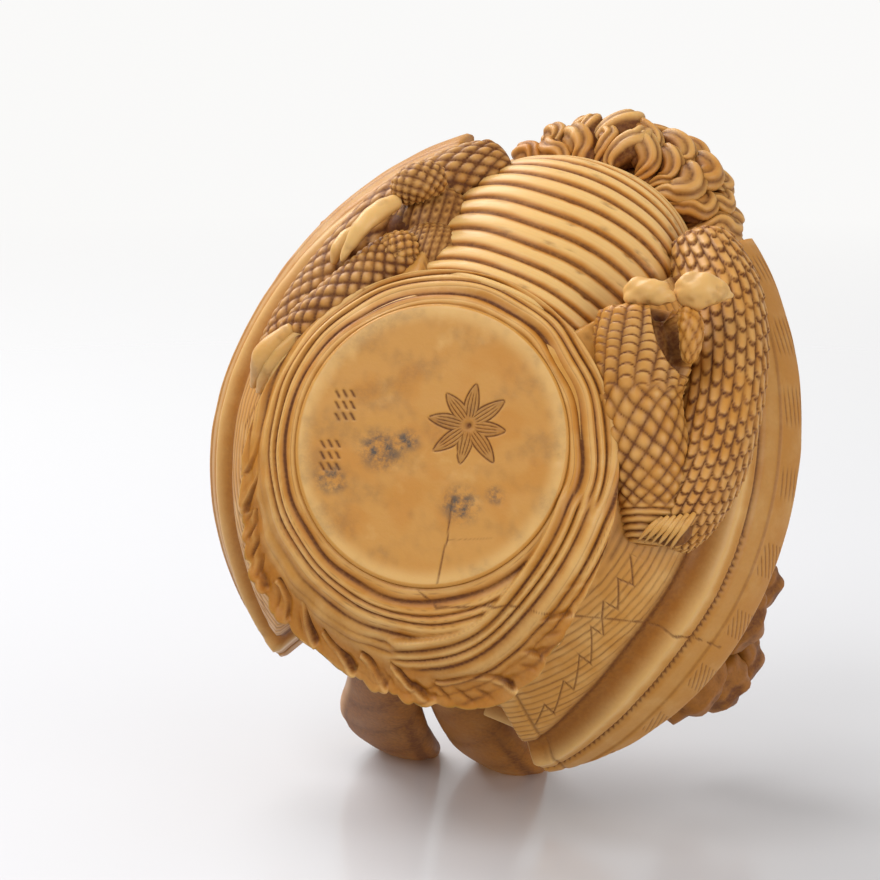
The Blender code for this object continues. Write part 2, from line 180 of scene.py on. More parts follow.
class CarvingSettings(bpy.types.PropertyGroup):
    """The sizes and colours of the fine carving that a user would change."""

    petal_length: bpy.props.FloatProperty(
        name="Petal length", description="Reach of the flower's petals on the foot",
        default=4.25 * mm, unit="LENGTH",
    )
    petal_width: bpy.props.FloatProperty(
        name="Petal width", description="Width of a petal at its middle", default=1.5 * mm, unit="LENGTH",
    )
    cut_depth: bpy.props.FloatProperty(
        name="Cut depth", description="Depth of the fine engraved lines", default=0.09 * mm, unit="LENGTH",
    )
    ridge_relief: bpy.props.FloatProperty(
        name="Wave relief", description="Height of the ridges of the waves", default=0.42 * mm, unit="LENGTH",
    )
    rib_relief: bpy.props.FloatProperty(
        name="Rib relief", description="Height of the ribs across the breast", default=0.55 * mm,
        unit="LENGTH",
    )
    scale_relief: bpy.props.FloatProperty(
        name="Scale relief", description="Height of the scales on the forelegs", default=0.34 * mm,
        unit="LENGTH",
    )
    plank_spacing: bpy.props.FloatProperty(
        name="Grain spacing", description="Distance between the grain lines of the planks",
        default=0.85 * mm, unit="LENGTH",
    )
    # Light ivory colours the polished high places and the painted highlights.
    light_ivory: bpy.props.FloatVectorProperty(
        name="Light ivory", description="The polished high places", subtype="COLOR", size=4,
        default=(0.70, 0.430, 0.155, 1.0),
    )
    warm_ivory: bpy.props.FloatVectorProperty(
        name="Warm ivory", description="The honey tone of the body", subtype="COLOR", size=4,
        default=(0.53, 0.250, 0.050, 1.0),
    )
    # Amber, the tone of the hollows, is partly the ivory's own and partly painted shade.
    amber: bpy.props.FloatVectorProperty(
        name="Amber", description="The deep tone of the hollows", subtype="COLOR", size=4,
        default=(0.47, 0.165, 0.007, 1.0),
    )
    # This brown colours the stain in the cuts and also the painted shade.
    stain_and_shade: bpy.props.FloatVectorProperty(
        name="Stain", description="The brown rubbed into the cuts", subtype="COLOR", size=4,
        default=(0.120, 0.034, 0.004, 1.0),
    )
    bruise: bpy.props.FloatVectorProperty(
        name="Bruise", description="The grey patches on the foot", subtype="COLOR", size=4,
        default=(0.095, 0.068, 0.048, 1.0),
    )


def settings():
    """The carving's sizes and colours in this scene."""
    return bpy.context.scene.okimono_carving


class Tones:
    """What the carving does to a form at each place: its relief and tones, painted shade and highlights among
    them.
    """

    def __init__(self, u):
        self.height = np.zeros_like(u)
        self.stain_and_shade = np.zeros_like(u)
        self.amber = np.zeros_like(u)
        self.bruise = np.zeros_like(u)
        self.pale = np.zeros_like(u)


def unit(vectors):
    """The vectors at length 1."""
    return vectors / np.maximum(np.linalg.norm(vectors, axis=-1, keepdims=True), 1e-12)


def dot(a, b):
    return np.sum(a * b, axis=-1, keepdims=True)


def turned(bearing):
    """The unit vectors in plan at these bearings."""
    angle = np.radians(bearing)
    return np.stack([np.sin(angle), -np.cos(angle), np.zeros_like(angle)], axis=-1)


def polar(bearing, reach, height):
    """A point at this bearing, reach and height, with the last two in millimetres."""
    return turned(np.float64(bearing)) * reach * mm + up * height * mm


def along(knots, share):
    """Points on a smooth line through the knots, at shares of its whole run."""
    knots = np.asarray(knots, dtype=float)
    place = np.clip(share, 0.0, 1.0) * (len(knots) - 1)
    i = np.minimum(place.astype(int), len(knots) - 2)
    t = (place - i)[..., None]
    p, q, r, s = (knots[np.clip(i + step, 0, len(knots) - 1)] for step in (-1, 0, 1, 2))
    return 0.5 * (2 * q + (r - p) * t + (2 * p - 5 * q + 4 * r - s) * t * t + (3 * q - p - 3 * r + s) * t**3)


def line_mark(distance, width):
    """How deep in a cut of this width a place is: 1 along its middle, fading to 0."""
    return np.exp(-((distance / width) ** 2))


def smooth(value, low, high):
    """A soft step from 0 at low to 1 at high."""
    t = np.clip((value - low) / (high - low), 0.0, 1.0)
    return t * t * (3 - 2 * t)


def mottle(spot, size, seed):
    """Soft uneven swells over the places, from about -1 to 1, each about this size across."""
    draw = np.random.default_rng(seed)
    total = np.zeros(len(spot))
    for _ in range(8):
        way = draw.normal(size=3)
        total += np.sin(spot @ (way * (3.0 / size)) + draw.uniform(0, 2 * math.pi))
    return total / 3.0


def blend(first, second, value, start, end):
    """Points that turn from the first into the second while the value goes from start to end."""
    share = np.clip((value - start) / (end - start), 0, 1)[:, None]
    return first * (1 - share) + second * share


def segment_distance(x, y, start, end):
    """How far places in plan lie from a straight stretch."""
    run = np.array(end) - np.array(start)
    share = np.clip(((x - start[0]) * run[0] + (y - start[1]) * run[1]) / (run @ run), 0, 1)
    return np.hypot(x - start[0] - share * run[0], y - start[1] - share * run[1])


def seen(spot):
    """Where places lie in the photograph, in its pixels across and down."""
    forward = np.array(camera_right.cross(camera_down))
    away = spot - np.array(camera_place)
    scale = camera_lens / sensor_width * picture_width / (away @ forward)
    return tuple(picture_width / 2 + scale * (away @ np.array(way)) for way in (camera_right, camera_down))


def photo_crack(spot):
    """The hairline crack that runs across the waves and the side, along its line in the photograph."""
    across, down = seen(spot)
    away = np.minimum.reduce([
        segment_distance(across, down, start, end) for start, end in zip(CRACK_PIXELS, CRACK_PIXELS[1:])
    ])
    wander = 0.6 * mottle(spot, 1.6 * mm, 7)
    return line_mark(away + wander, 1.0) * (spot[:, 2] < 26 * mm)


def photo_leaf(spot, start, end, half):
    """A leaf-shaped mark between two places in the photograph, in pixels: 1 in it, fading to 0."""
    across, down = seen(spot)
    run = np.array(end, dtype=float) - np.array(start)
    share = ((across - start[0]) * run[0] + (down - start[1]) * run[1]) / (run @ run)
    away = np.abs((across - start[0]) * run[1] - (down - start[1]) * run[0]) / np.linalg.norm(run)
    width = half * np.sin(math.pi * np.clip(share, 0.001, 0.999)) ** 0.8
    return smooth(-away / width, -1.25, -0.70)


def deselect_all():
    bpy.ops.object.select_all(action="DESELECT")


def wrapped(name, columns, rows, place, dress, focus=0.0):
    """A grid bent round a form, with its columns drawn towards u 0.5 by the focus.

    place takes u and v, from 0 to 1, and gives points. dress takes u, v and those points, and gives
    Tones. The relief goes out along the form's own normal, and seams and poles are merged.
    """
    deselect_all()
    bpy.ops.mesh.primitive_grid_add(x_subdivisions=columns, y_subdivisions=rows, size=1.0)
    piece = bpy.context.active_object
    piece.name = name
    mesh = piece.data
    mesh.name = name
    flat = np.empty(len(mesh.vertices) * 3, dtype=np.float32)
    mesh.vertices.foreach_get("co", flat)
    u = flat[0::3].astype(float) + 0.5
    u -= focus * np.sin(2 * math.pi * (u - 0.5)) / (2 * math.pi)
    v = flat[1::3].astype(float) + 0.5
    step = 0.0015
    spot = place(u, v)
    run_u = place(u + step, v) - place(u - step, v)
    run_v = place(u, np.minimum(v + step, 1.0)) - place(u, np.maximum(v - step, 0.0))
    area = np.cross(run_u, run_v)
    facing = 1.0 if np.sum((spot - spot.mean(axis=0)) * area) > 0 else -1.0
    tones = dress(u, v, spot)
    spot = spot + facing * unit(area) * tones.height[:, None]
    mesh.vertices.foreach_set("co", spot.astype(np.float32).ravel())
    for tone in ("stain_and_shade", "amber", "bruise", "pale"):
        layer = mesh.attributes.new(tone, "FLOAT", "POINT")
        layer.data.foreach_set("value", np.clip(getattr(tones, tone), 0, 1).astype(np.float32))
    mesh.update()
    bpy.ops.object.mode_set(mode="EDIT")
    bpy.ops.mesh.select_all(action="SELECT")
    bpy.ops.mesh.remove_doubles(threshold=1e-6)
    if facing < 0:
        bpy.ops.mesh.flip_normals()
    bpy.ops.object.mode_set(mode="OBJECT")
    bpy.ops.object.shade_smooth()
    return piece


def rounded(v, start, end):
    """Closes a body at both ends: 0 at its tips and 1 beyond these shares of its run."""
    near = np.clip(v / start, 0, 1)
    far = np.clip((1 - v) / end, 0, 1)
    return np.sqrt(near * (2 - near)) * np.sqrt(far * (2 - far))


def tube(points, radii, facing, squeeze=1.0, start=0.08, end=0.08):
    """A round body along a smooth line. u 0.5 looks the way that facing points."""
    points = np.asarray(points, dtype=float)
    radii = np.asarray(radii, dtype=float)[:, None]
    facing = np.asarray(facing, dtype=float)

    def place(u, v):
        spine = along(points, v)
        ahead = unit(along(points, v + 0.01) - along(points, v - 0.01))
        front = unit(facing - ahead * dot(facing, ahead))
        side = np.cross(ahead, front)
        reach = along(radii, v) * rounded(v, start, end)[:, None]
        angle = 2 * math.pi * (u - 0.5)[:, None]
        return spine + reach * (np.cos(angle) * front + squeeze * np.sin(angle) * side)

    return place


def ball(middle, radii, tilt=(0.0, 0.0, 0.0)):
    """A sphere stretched to the radii and turned by the tilt, in degrees. v runs up its own axis."""
    turn = Matrix.Rotation(math.radians(tilt[2]), 3, "Z")
    turn @= Matrix.Rotation(math.radians(tilt[1]), 3, "Y")
    turn @= Matrix.Rotation(math.radians(tilt[0]), 3, "X")
    turn = np.array(turn)

    def place(u, v):
        round_it = 2 * math.pi * u
        rise = math.pi * (v - 0.5)
        flat = np.stack([np.cos(rise) * np.cos(round_it), np.cos(rise) * np.sin(round_it), np.sin(rise)], -1)
        return np.array(middle) + (flat * np.array(radii)) @ turn.T

    return place


def joined(name, pieces):
    """Several forms made one piece."""
    deselect_all()
    for piece in pieces:
        piece.select_set(True)
    bpy.context.view_layer.objects.active = pieces[0]
    bpy.ops.object.join()
    whole = bpy.context.active_object
    whole.name = whole.data.name = name
    return whole


def finished(piece, material, main=False):
    """Gives a piece its material and its place in the frame."""
    piece.data.materials.clear()
    piece.data.materials.append(material)
    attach(piece, "root")
    if main:
        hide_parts("okimono")


class Wire:
    """A shader socket that adds Math nodes when it is used in a sum."""

    def __init__(self, board, socket):
        self.board = board
        self.socket = socket

    def math(self, operation, left, right=0.0):
        return self.board.node("ShaderNodeMath", {"operation": operation}, {0: left, 1: right})

    def __add__(self, other):
        return self.math("ADD", self, other)

    def __radd__(self, other):
        return self.math("ADD", other, self)

    def __sub__(self, other):
        return self.math("SUBTRACT", self, other)

    def __rsub__(self, other):
        return self.math("SUBTRACT", other, self)

    def __mul__(self, other):
        return self.math("MULTIPLY", self, other)

    def __rmul__(self, other):
        return self.math("MULTIPLY", other, self)

    def __pow__(self, other):
        return self.math("POWER", self, other)


class Board:
    """The nodes of one material."""

    def __init__(self, name):
        self.material = bpy.data.materials.new(name)
        self.material.use_nodes = True
        self.tree = self.material.node_tree
        self.shader = self.tree.nodes["Principled BSDF"]

    def node(self, kind, options, sockets, result=0):
        """Adds one node: its options are set first, and then its sockets' values or links."""
        new = self.tree.nodes.new(kind)
        for key, value in options.items():
            if key == "stops":
                for stop, (position, colour) in zip(new.color_ramp.elements, value):
                    stop.position = position
                    stop.color = colour
            else:
                setattr(new, key, value)
        for key, value in sockets.items():
            self.feed(new.inputs[key], value)
        return Wire(self, new.outputs[result])

    def feed(self, socket, value):
        """Gives a socket a value, or links a wire to it."""
        if isinstance(value, Wire):
            self.tree.links.new(value.socket, socket)
        else:
            socket.default_value = value

    def tone(self, name):
        """A tone that the carving left on the piece, from 0 to 1."""
        return self.node("ShaderNodeAttribute", {"attribute_name": name}, {}, "Fac")

    def noise(self, scale, detail=3.0, roughness=0.55):
        """Cloudy noise that lies still on the piece."""
        place = self.node("ShaderNodeTexCoord", {}, {}, "Object")
        sockets = {"Vector": place, "Scale": scale, "Detail": detail, "Roughness": roughness}
        return self.node("ShaderNodeTexNoise", {}, sockets)

    def ramp(self, value, low, high):
        """0 where the value is under low, 1 where it is over high."""
        options = {"stops": ((low, (0, 0, 0, 1)), (high, (1, 1, 1, 1)))}
        colour = self.node("ShaderNodeValToRGB", options, {0: value})
        return self.node("ShaderNodeRGBToBW", {}, {0: colour})

    def mix(self, share, first, second):
        """A colour between two others."""
        return self.node(
            "ShaderNodeMix", {"data_type": "RGBA", "clamp_factor": True}, {0: share, 6: first, 7: second}, 2,
        )


def ivory(name, warmth):
    """Old ivory: cream where rubbed, honey elsewhere, amber in hollows, brown in cuts, and painted shade and
    highlights.
    """
    found = bpy.data.materials.get(name)
    if found:
        return found
    chosen = settings()
    board = Board(name)
    stain_and_shade = board.tone("stain_and_shade")
    broad = board.noise(110.0)
    cloud = board.noise(420.0, detail=4.0)
    fleck = board.noise(2600.0, detail=2.0)
    body = board.mix(
        board.ramp(broad * 0.6 + cloud * 0.4 + (warmth - 0.5), 0.36, 0.64),
        tuple(chosen.light_ivory), tuple(chosen.warm_ivory),
    )
    # The pale tone lightens to light ivory for polish and painted highlights, the amber tone is partly
    # painted shade in hollows, and the stain tone darkens to brown for the stain in the cuts and for painted
    # shade.
    body = board.mix(board.tone("pale") * 0.85, body, tuple(chosen.light_ivory))
    body = board.mix(board.tone("amber") * (0.60 + cloud * 0.6), body, tuple(chosen.amber))
    body = board.mix(stain_and_shade * (0.60 + fleck * 0.75), body, tuple(chosen.stain_and_shade))
    speck = board.ramp(board.noise(800.0, detail=5.0, roughness=0.7), 0.40, 0.60)
    body = board.mix(board.tone("bruise") * speck, body, tuple(chosen.bruise))
    grain = {"Strength": 0.22, "Distance": 0.12 * mm, "Height": fleck * 0.5 + cloud}
    polish = {
        "Base Color": body,
        "Roughness": stain_and_shade * 0.30 + cloud * 0.14 + 0.30,
        "Normal": board.node("ShaderNodeBump", {}, grain, "Normal"),
        "Subsurface Weight": 0.16,
        "Subsurface Radius": (1.0, 0.65, 0.3),
        "Subsurface Scale": 1.1 * mm,
        "Specular IOR Level": 0.26,
        "Coat Weight": 0.04,
        "Coat Roughness": 0.16,
    }
    for socket, value in polish.items():
        board.feed(board.shader.inputs[socket], value)
    return board.material


def tick_rows(x, y, middle):
    """Rows of short slanted strokes round a place on the foot."""
    pitch = 0.80 * mm
    gap = 1.15 * mm
    lean = math.radians(22)
    slope = 0.55
    stroke_width = 0.15 * mm
    run = (x - middle[0]) * math.cos(lean) - (y - middle[1]) * math.sin(lean)
    rise = (x - middle[0]) * math.sin(lean) + (y - middle[1]) * math.cos(lean)
    column = np.round(run / pitch)
    row = np.round(rise / gap)
    inside = (np.abs(column) <= 1) & (np.abs(row) <= 1)
    rest = rise - row * gap
    slant = run - column * pitch - slope * rest
    return inside * line_mark(slant, stroke_width) * smooth(-np.abs(rest), -0.46 * mm, -0.34 * mm)


def petals(x, y):
    """The eight-petalled flower: its outlines, its veins and how far a place is inside a petal."""
    chosen = settings()
    reach = np.hypot(x, y)
    bearing = np.degrees(np.arctan2(x, -y)) + flower_turn
    k = np.round(bearing / petal_step)
    swing = np.radians(bearing - petal_step * k)
    length = chosen.petal_length * (1 + 0.09 * np.sin(2.6 * (k % 8)))
    share = reach * np.cos(swing) / length
    across = reach * np.sin(swing) + 0.1 * mm * np.sin(3 * share + 2 * k)
    half = 0.5 * chosen.petal_width * np.sin(math.pi * np.clip(share, 0, 1) ** 0.85) ** 0.7
    here = smooth(share, 0.10, 0.18) * smooth(-share, -1.02, -0.98)
    line = 0.085 * mm
    outline = line_mark(np.abs(across) - half, line) * here
    veins = sum(line_mark(across - side * half, 0.7 * line) for side in (-0.5, 0.0, 0.48))
    veins = veins * smooth(share, 0.16, 0.24) * smooth(-share, -0.86, -0.7)
    inside = here * (np.abs(across) < half)
    return outline, veins, inside


class OKIMONO_OT_foot(bpy.types.Operator):
    """The flat polished foot, with its flower, its nerve hole, its crack and its rows of ticks"""

    bl_idname = "okimono.foot"
    bl_label = "Foot"

    def execute(self, context):
        middle = np.array((*flower_place, 0.0))
        runs = (0.0, 0.008, 0.870, 0.885, 0.900, 0.930, 0.985, 1.0)
        shares = (0.0, 0.018, 0.965, 0.985, 1.000, 1.000, 0.40, 0.0)
        heights = (0.0, 0.0, 0.0, 0.03, 0.25, 2.0, 2.3, 2.4)

        def place(u, v):
            edge = turned(360.0 * u) * foot_radius
            share = np.interp(v, runs, shares)[:, None]
            lift = np.interp(v, runs, heights)[:, None]
            return middle * (1 - share) + edge * share + up * lift * mm

        def dress(u, v, spot):
            tones = Tones(u)
            face = (v < 0.88).astype(float)
            x, y = spot[:, 0], spot[:, 1]
            outline, veins, inside = petals(x - middle[0], y - middle[1])
            nerve = np.hypot(x - middle[0], y - middle[1])
            hole = line_mark(nerve, nerve_hole)
            wander = 0.05 * mm * mottle(spot, 2.5 * mm, 3)
            crack = sum(
                line_mark(segment_distance(x + wander, y, start, end), 0.085 * mm)
                for start, end in zip(crack_line, crack_line[1:])
            )
            branch = line_mark(segment_distance(x + wander, y, *crack_branch), 0.05 * mm)
            ticks = sum(tick_rows(x, y, where) for where in tick_places)
            cuts = np.maximum.reduce([outline, 0.75 * veins, ticks])
            chip = 0.5 * line_mark(np.hypot(x - chip_place[0], y - chip_place[1]), 0.45 * mm)
            depth = settings().cut_depth
            tones.height = -face * (
                depth * cuts + 0.25 * mm * hole + 0.06 * mm * crack + 0.12 * mm * chip
            ) + face * 0.012 * mm * mottle(spot, 3.0 * mm, 5)
            tones.stain_and_shade = face * np.maximum.reduce([
                1.1 * outline, 0.9 * veins, 0.30 * inside, ticks, 1.4 * hole, 0.85 * np.minimum(crack, 1),
                0.35 * branch, 0.45 * line_mark(nerve, 0.7 * mm),
            ])
            for (patch_x, patch_y), size in GREY_PATCHES:
                away = np.hypot(x - patch_x * mm, (y - patch_y * mm) * 1.15)
                tones.bruise += smooth(-away, -1.5 * size * mm, -0.2 * size * mm)
            veil = smooth(mottle(spot, 4.0 * mm, 10) + 0.5 * mottle(spot, 1.2 * mm, 12), -0.6, 1.3)
            tones.bruise += face * 0.17 * veil
            edge = np.hypot(x, y) / foot_radius
            tones.pale = face * (0.08 + 0.85 * smooth(edge, 0.84, 0.97))
            clouds = smooth(mottle(spot, 5.5 * mm, 8) + 0.4 * mottle(spot, 2.0 * mm, 9), -0.1, 1.2)
            tones.amber = face * 0.36 * clouds * smooth(-edge, -0.95, -0.8)
            tones.stain_and_shade = np.maximum(tones.stain_and_shade + face * (0.05 + 0.11 * veil), (v > 0.9) * 0.6)
            return tones

        piece = wrapped("foot", 420, 130, place, dress)
        finished(piece, ivory("ivory_foot", warmth=0.70), main=True)
        return {"FINISHED"}


def wave_edge(bearing):
    """How far out, and how high up, the skirt of waves reaches at these bearings."""
    astern = (0.5 - 0.5 * np.cos(np.radians(bearing))) ** 2
    lobe = line_mark(bearing - lobe_bearing, lobe_spread)
    reach = foot_radius + wave_reach + wave_run_astern * (astern + 0.42 * lobe)
    return reach, wave_height * (0.45 + 0.75 * astern + 0.25 * lobe)


def astern_share(bearing):
    """1 over the breaking part of the waves, fading to 0 towards the bow."""
    return smooth(-np.abs(bearing - 180), -80, -45)


def curl_share(bearing, count):
    """How far through its own curl of foam a place is, from 0 to 1: the curls are of uneven width."""
    angle = np.radians(bearing)
    beat = angle * count + 0.9 * np.sin(5 * angle + count) + 0.5 * np.sin(11 * angle + 2 * count)
    return (beat / math.pi) % 1.0


def wave_place(bearing, share):
    """The broad form of the waves: share 0 is the foot's edge and 1 is the foam along the outer edge."""
    reach, height = wave_edge(bearing)
    angle = np.radians(bearing)
    curl = np.sin(math.pi * curl_share(bearing, foam_curls) ** 0.6) * (0.7 + 0.4 * np.sin(angle * 9))
    tip = np.sin(math.pi * curl_share(bearing, foam_tips) ** 0.7) * (0.5 + 0.5 * np.sin(angle * 7))
    foam = (0.75 * curl + 0.40 * tip) * mm * astern_share(bearing) * share**7
    out = turned(bearing) * (foot_radius + (reach - foot_radius) * share + foam)[:, None]
    low = 0.35 * mm
    rise = low + (height - low) * share**1.25 - 0.5 * foam
    return out + up * np.maximum(rise, 0.3 * mm)[:, None]


def ridges(run, spot, seed):
    """Swept ridges of uneven width along a run of water, and the finer lines on them."""
    place = run / ridge_pitch + 0.24 * np.sin(2 * math.pi * run / (2.9 * ridge_pitch) + seed)
    place = place + 0.06 * mottle(spot, 11.0 * mm, seed)
    crest = np.abs(np.sin(math.pi * place))
    fine = np.abs(np.sin(math.pi * (2.6 * place + 0.37 * seed)))
    return crest, fine


def sweep_edge(bearing):
    """The inner edge of the second sheet of water, which sweeps over the first: a share of the skirt."""
    return 0.02 + 0.52 * np.clip((bearing - 92) / 82, 0, 1) ** 1.15


class OKIMONO_OT_waves(bpy.types.Operator):
    """The waves round the foot: swept ridges of water that break into curls of foam astern"""

    bl_idname = "okimono.waves"
    bl_label = "Waves"

    def execute(self, context):
        skirt_start, skirt_end = 0.04, 0.88

        def skirt_share(v):
            return np.clip((v - skirt_start) / (skirt_end - skirt_start), 0, 1)

        def place(u, v):
            bearing = (360.0 * u) % 360.0
            skirt = wave_place(bearing, skirt_share(v))
            inner = turned(bearing) * (foot_radius - 0.6 * mm) + up * 2.4 * mm
            edge = wave_place(bearing, np.full_like(u, 0.97))
            over = edge + up * 2.6 * mm - turned(bearing) * 1.3 * mm
            after = np.clip((v - skirt_end) / (1 - skirt_end), 0, 1)[:, None]
            back = blend(skirt, inner, v, skirt_end, 1.0) + (over - edge) * np.sin(after * math.pi)
            return np.where(v[:, None] < skirt_start, blend(inner, skirt, v, 0.0, skirt_start), back)

        def dress(u, v, spot):
            tones = Tones(u)
            bearing = (360.0 * u) % 360.0
            share = skirt_share(v)
            open_side = smooth(v, skirt_start, skirt_start + 0.012)
            open_side = open_side * smooth(-v, -skirt_end, 0.012 - skirt_end)
            reach, _ = wave_edge(bearing)
            run = (reach - foot_radius) * share
            swell = 0.25 * mm * mottle(spot, 7.0 * mm, 11)
            sweep = sweep_edge(bearing)
            past = share - sweep
            second_here = smooth(past, -0.01, 0.01) * smooth(bearing, 84, 92) * smooth(-bearing, -174, -168)
            first_crest, first_fine = ridges(run + 0.6 * swell, spot, 1)
            second_crest, second_fine = ridges(past * (reach - foot_radius) + 0.4 * mm, spot, 2)
            crest = first_crest * (1 - second_here) + second_crest * second_here
            fine = first_fine * (1 - second_here) + second_fine * second_here
            calm = smooth(share, 0.44, 0.58) * smooth(np.abs(bearing - calm_bearing), 62, 22)
            calm = 0.85 * calm * (1 - second_here)
            step = second_here * line_mark(past, 0.05)
            tip = smooth(bearing, 150, 170) * second_here * smooth(-past, -0.22, -0.05)
            broad = np.cos(2 * math.pi * (2.4 * share + 0.10 * np.sin(np.radians(2 * bearing))))
            foamy = astern_share(bearing) * smooth(share, 0.68, 0.80)
            hook = curl_share(bearing, foam_curls)
            depth_here = np.clip(0.85 + 0.55 * mottle(spot, 5.0 * mm, 16), 0.15, 1.3)
            slit = 0.955 - (0.25 + 0.10 * mottle(spot, 11.0 * mm, 17)) * hook**0.8
            hollow = line_mark(share - slit, 0.034 * (1 - hook) + 0.016) * foamy * depth_here
            lip = line_mark(share - slit - 0.044, 0.026) * foamy * depth_here
            within = smooth(-share, -0.985, -0.93)
            hollow = hollow * within
            small = curl_share(bearing, foam_tips)
            inner = line_mark(share - 0.965 + 0.13 * small**0.8, 0.024) * np.sin(math.pi * small) ** 0.5
            inner = inner * foamy * (1.5 - depth_here) * within
            relief = settings().ridge_relief
            tones.height = open_side * (
                relief * (0.95 * crest**0.75 + 0.16 * fine**0.6) * (1 - calm) * (1 - 0.6 * foamy)
                - 0.30 * relief * broad
                + relief * (1.1 * second_here * smooth(-past, -0.12, 0.0) + 0.8 * tip)
                + 0.30 * mm * lip - 0.50 * mm * hollow - 0.34 * mm * inner
                + 0.12 * mm * calm * mottle(spot, 3.0 * mm, 13)
            ) - open_side * relief * 0.6
            uneven = 0.85 + 0.30 * mottle(spot, 4.0 * mm, 14)
            ridged = (1 - calm) * (1 - 0.7 * foamy)
            narrow = smooth(-crest, -0.42, -0.04) * ridged
            wide = smooth(-crest, -0.92, -0.20) * ridged
            lines = smooth(-fine, -0.30, -0.02) * ridged
            crack = photo_crack(spot) * smooth(bearing, 90, 95) * smooth(-bearing, -215, -210)
            # Painted shade: the outer half of the waves astern is darkened.
            low_side_shade = astern_share(bearing) * smooth(share, 0.30, 0.60)
            tones.stain_and_shade = open_side * np.maximum.reduce([
                (0.95 * narrow + 0.25 * low_side_shade) * uneven + 0.30 * wide, 0.40 * lines * uneven,
                hollow, 0.8 * inner, 0.30 * foamy * (1 - lip), 0.75 * step * smooth(past, 0.01, -0.01),
                0.5 * line_mark(share, 0.025), 0.85 * crack,
            ])
            tones.stain_and_shade = np.maximum(tones.stain_and_shade, 0.6 * (v > skirt_end + 0.02) + 0.6 * (v < skirt_start))
            inner_ring = smooth(-share, -0.5, -0.1)
            hollows = 0.65 * wide + 0.9 * hollow + 0.6 * inner + 0.22 * inner_ring + 0.55 * foamy * (1 - lip)
            tones.amber = open_side * np.clip(hollows + 0.35 * smooth(broad, 0.2, 1.0) * calm, 0, 1)
            tones.amber += 0.25 * smooth(mottle(spot, 6.0 * mm, 15), 0.2, 1.0)
            tones.pale = open_side * np.clip(0.9 * lip + 0.55 * smooth(crest, 0.75, 1.0) * ridged, 0, 1)
            return tones

        piece = wrapped("waves", 640, 110, place, dress, focus=0.35)
        finished(piece, ivory("ivory_waves", warmth=0.60), main=True)
        return {"FINISHED"}


def rim_point(bearing, spread=1.0):
    """The gunwale: an oval in plan, set back across the bow and the stern, that rises astern."""
    bearing = bearing % 360.0
    out = turned(bearing)
    reach = np.where(out[:, 1] < 0, length_forward, length_aft)
    astern = transom_recess * np.clip((30 - np.abs(bearing - 180)) / (4 * spread), 0, 1)
    ahead = bow_recess * np.clip((np.abs(bearing - 180) - 149) / (6 * spread), 0, 1)
    y = np.clip(out[:, 1] * reach, ahead - bow_cut, stern_cut - astern)
    rise = stern_rise * np.clip(y / stern_cut, 0, 1) ** 2
    return np.stack([out[:, 0] * beam / 2, y, gunwale_height + rise], axis=-1)


def from_bow(bearing):
    """How far round from the bow these bearings are, on either side: from 0 to 180 degrees."""
    return 180 - np.abs(bearing % 360.0 - 180)


def own_level(bearing, level):
    """A level told from the mouldings' own line, which climbs from amidships towards the stern."""
    return level - mould_climb * np.clip(from_bow(bearing) - 105, 0, 42) ** 2


def moulding(own):
    """How far the gunwale's mouldings stand out: a hollow channel, a bead, a groove and a step."""
    channel = -0.75 * line_mark(own - channel_level, 0.052)
    bead = 0.30 * line_mark(own - bead_level, 0.030)
    groove = -0.22 * line_mark(own - groove_level, 0.014)
    band = 0.16 * smooth(own, band_level - 0.01, band_level + 0.01)
    return moulding_relief * (channel + bead + groove + band)


def hull_point(bearing, level):
    """The ship's side at these bearings, from level 0 at the foot to 1 at the gunwale."""
    foot = turned(bearing) * foot_radius
    rim = rim_point(bearing)
    share = (1.0 - np.maximum(0.0, 1.0 - level) ** 1.5)[:, None]
    stands_out = moulding(own_level(bearing, level)) * smooth(-level, -1.0, -0.97)
    point = foot * (1 - share) + rim * share + stands_out[:, None] * turned(bearing)
    point[:, 2] = rim[:, 2] * level
    return point


def inner_rail(bearing, spread=1.0):
    """The gunwale's inner edge, a rail's thickness in from its outer one."""
    rim = rim_point(bearing, spread)
    inward = np.stack([2 * rim[:, 0] / beam, rim[:, 1] / length_aft, np.zeros(len(rim))], axis=-1)
    return rim - rail_thickness * inward


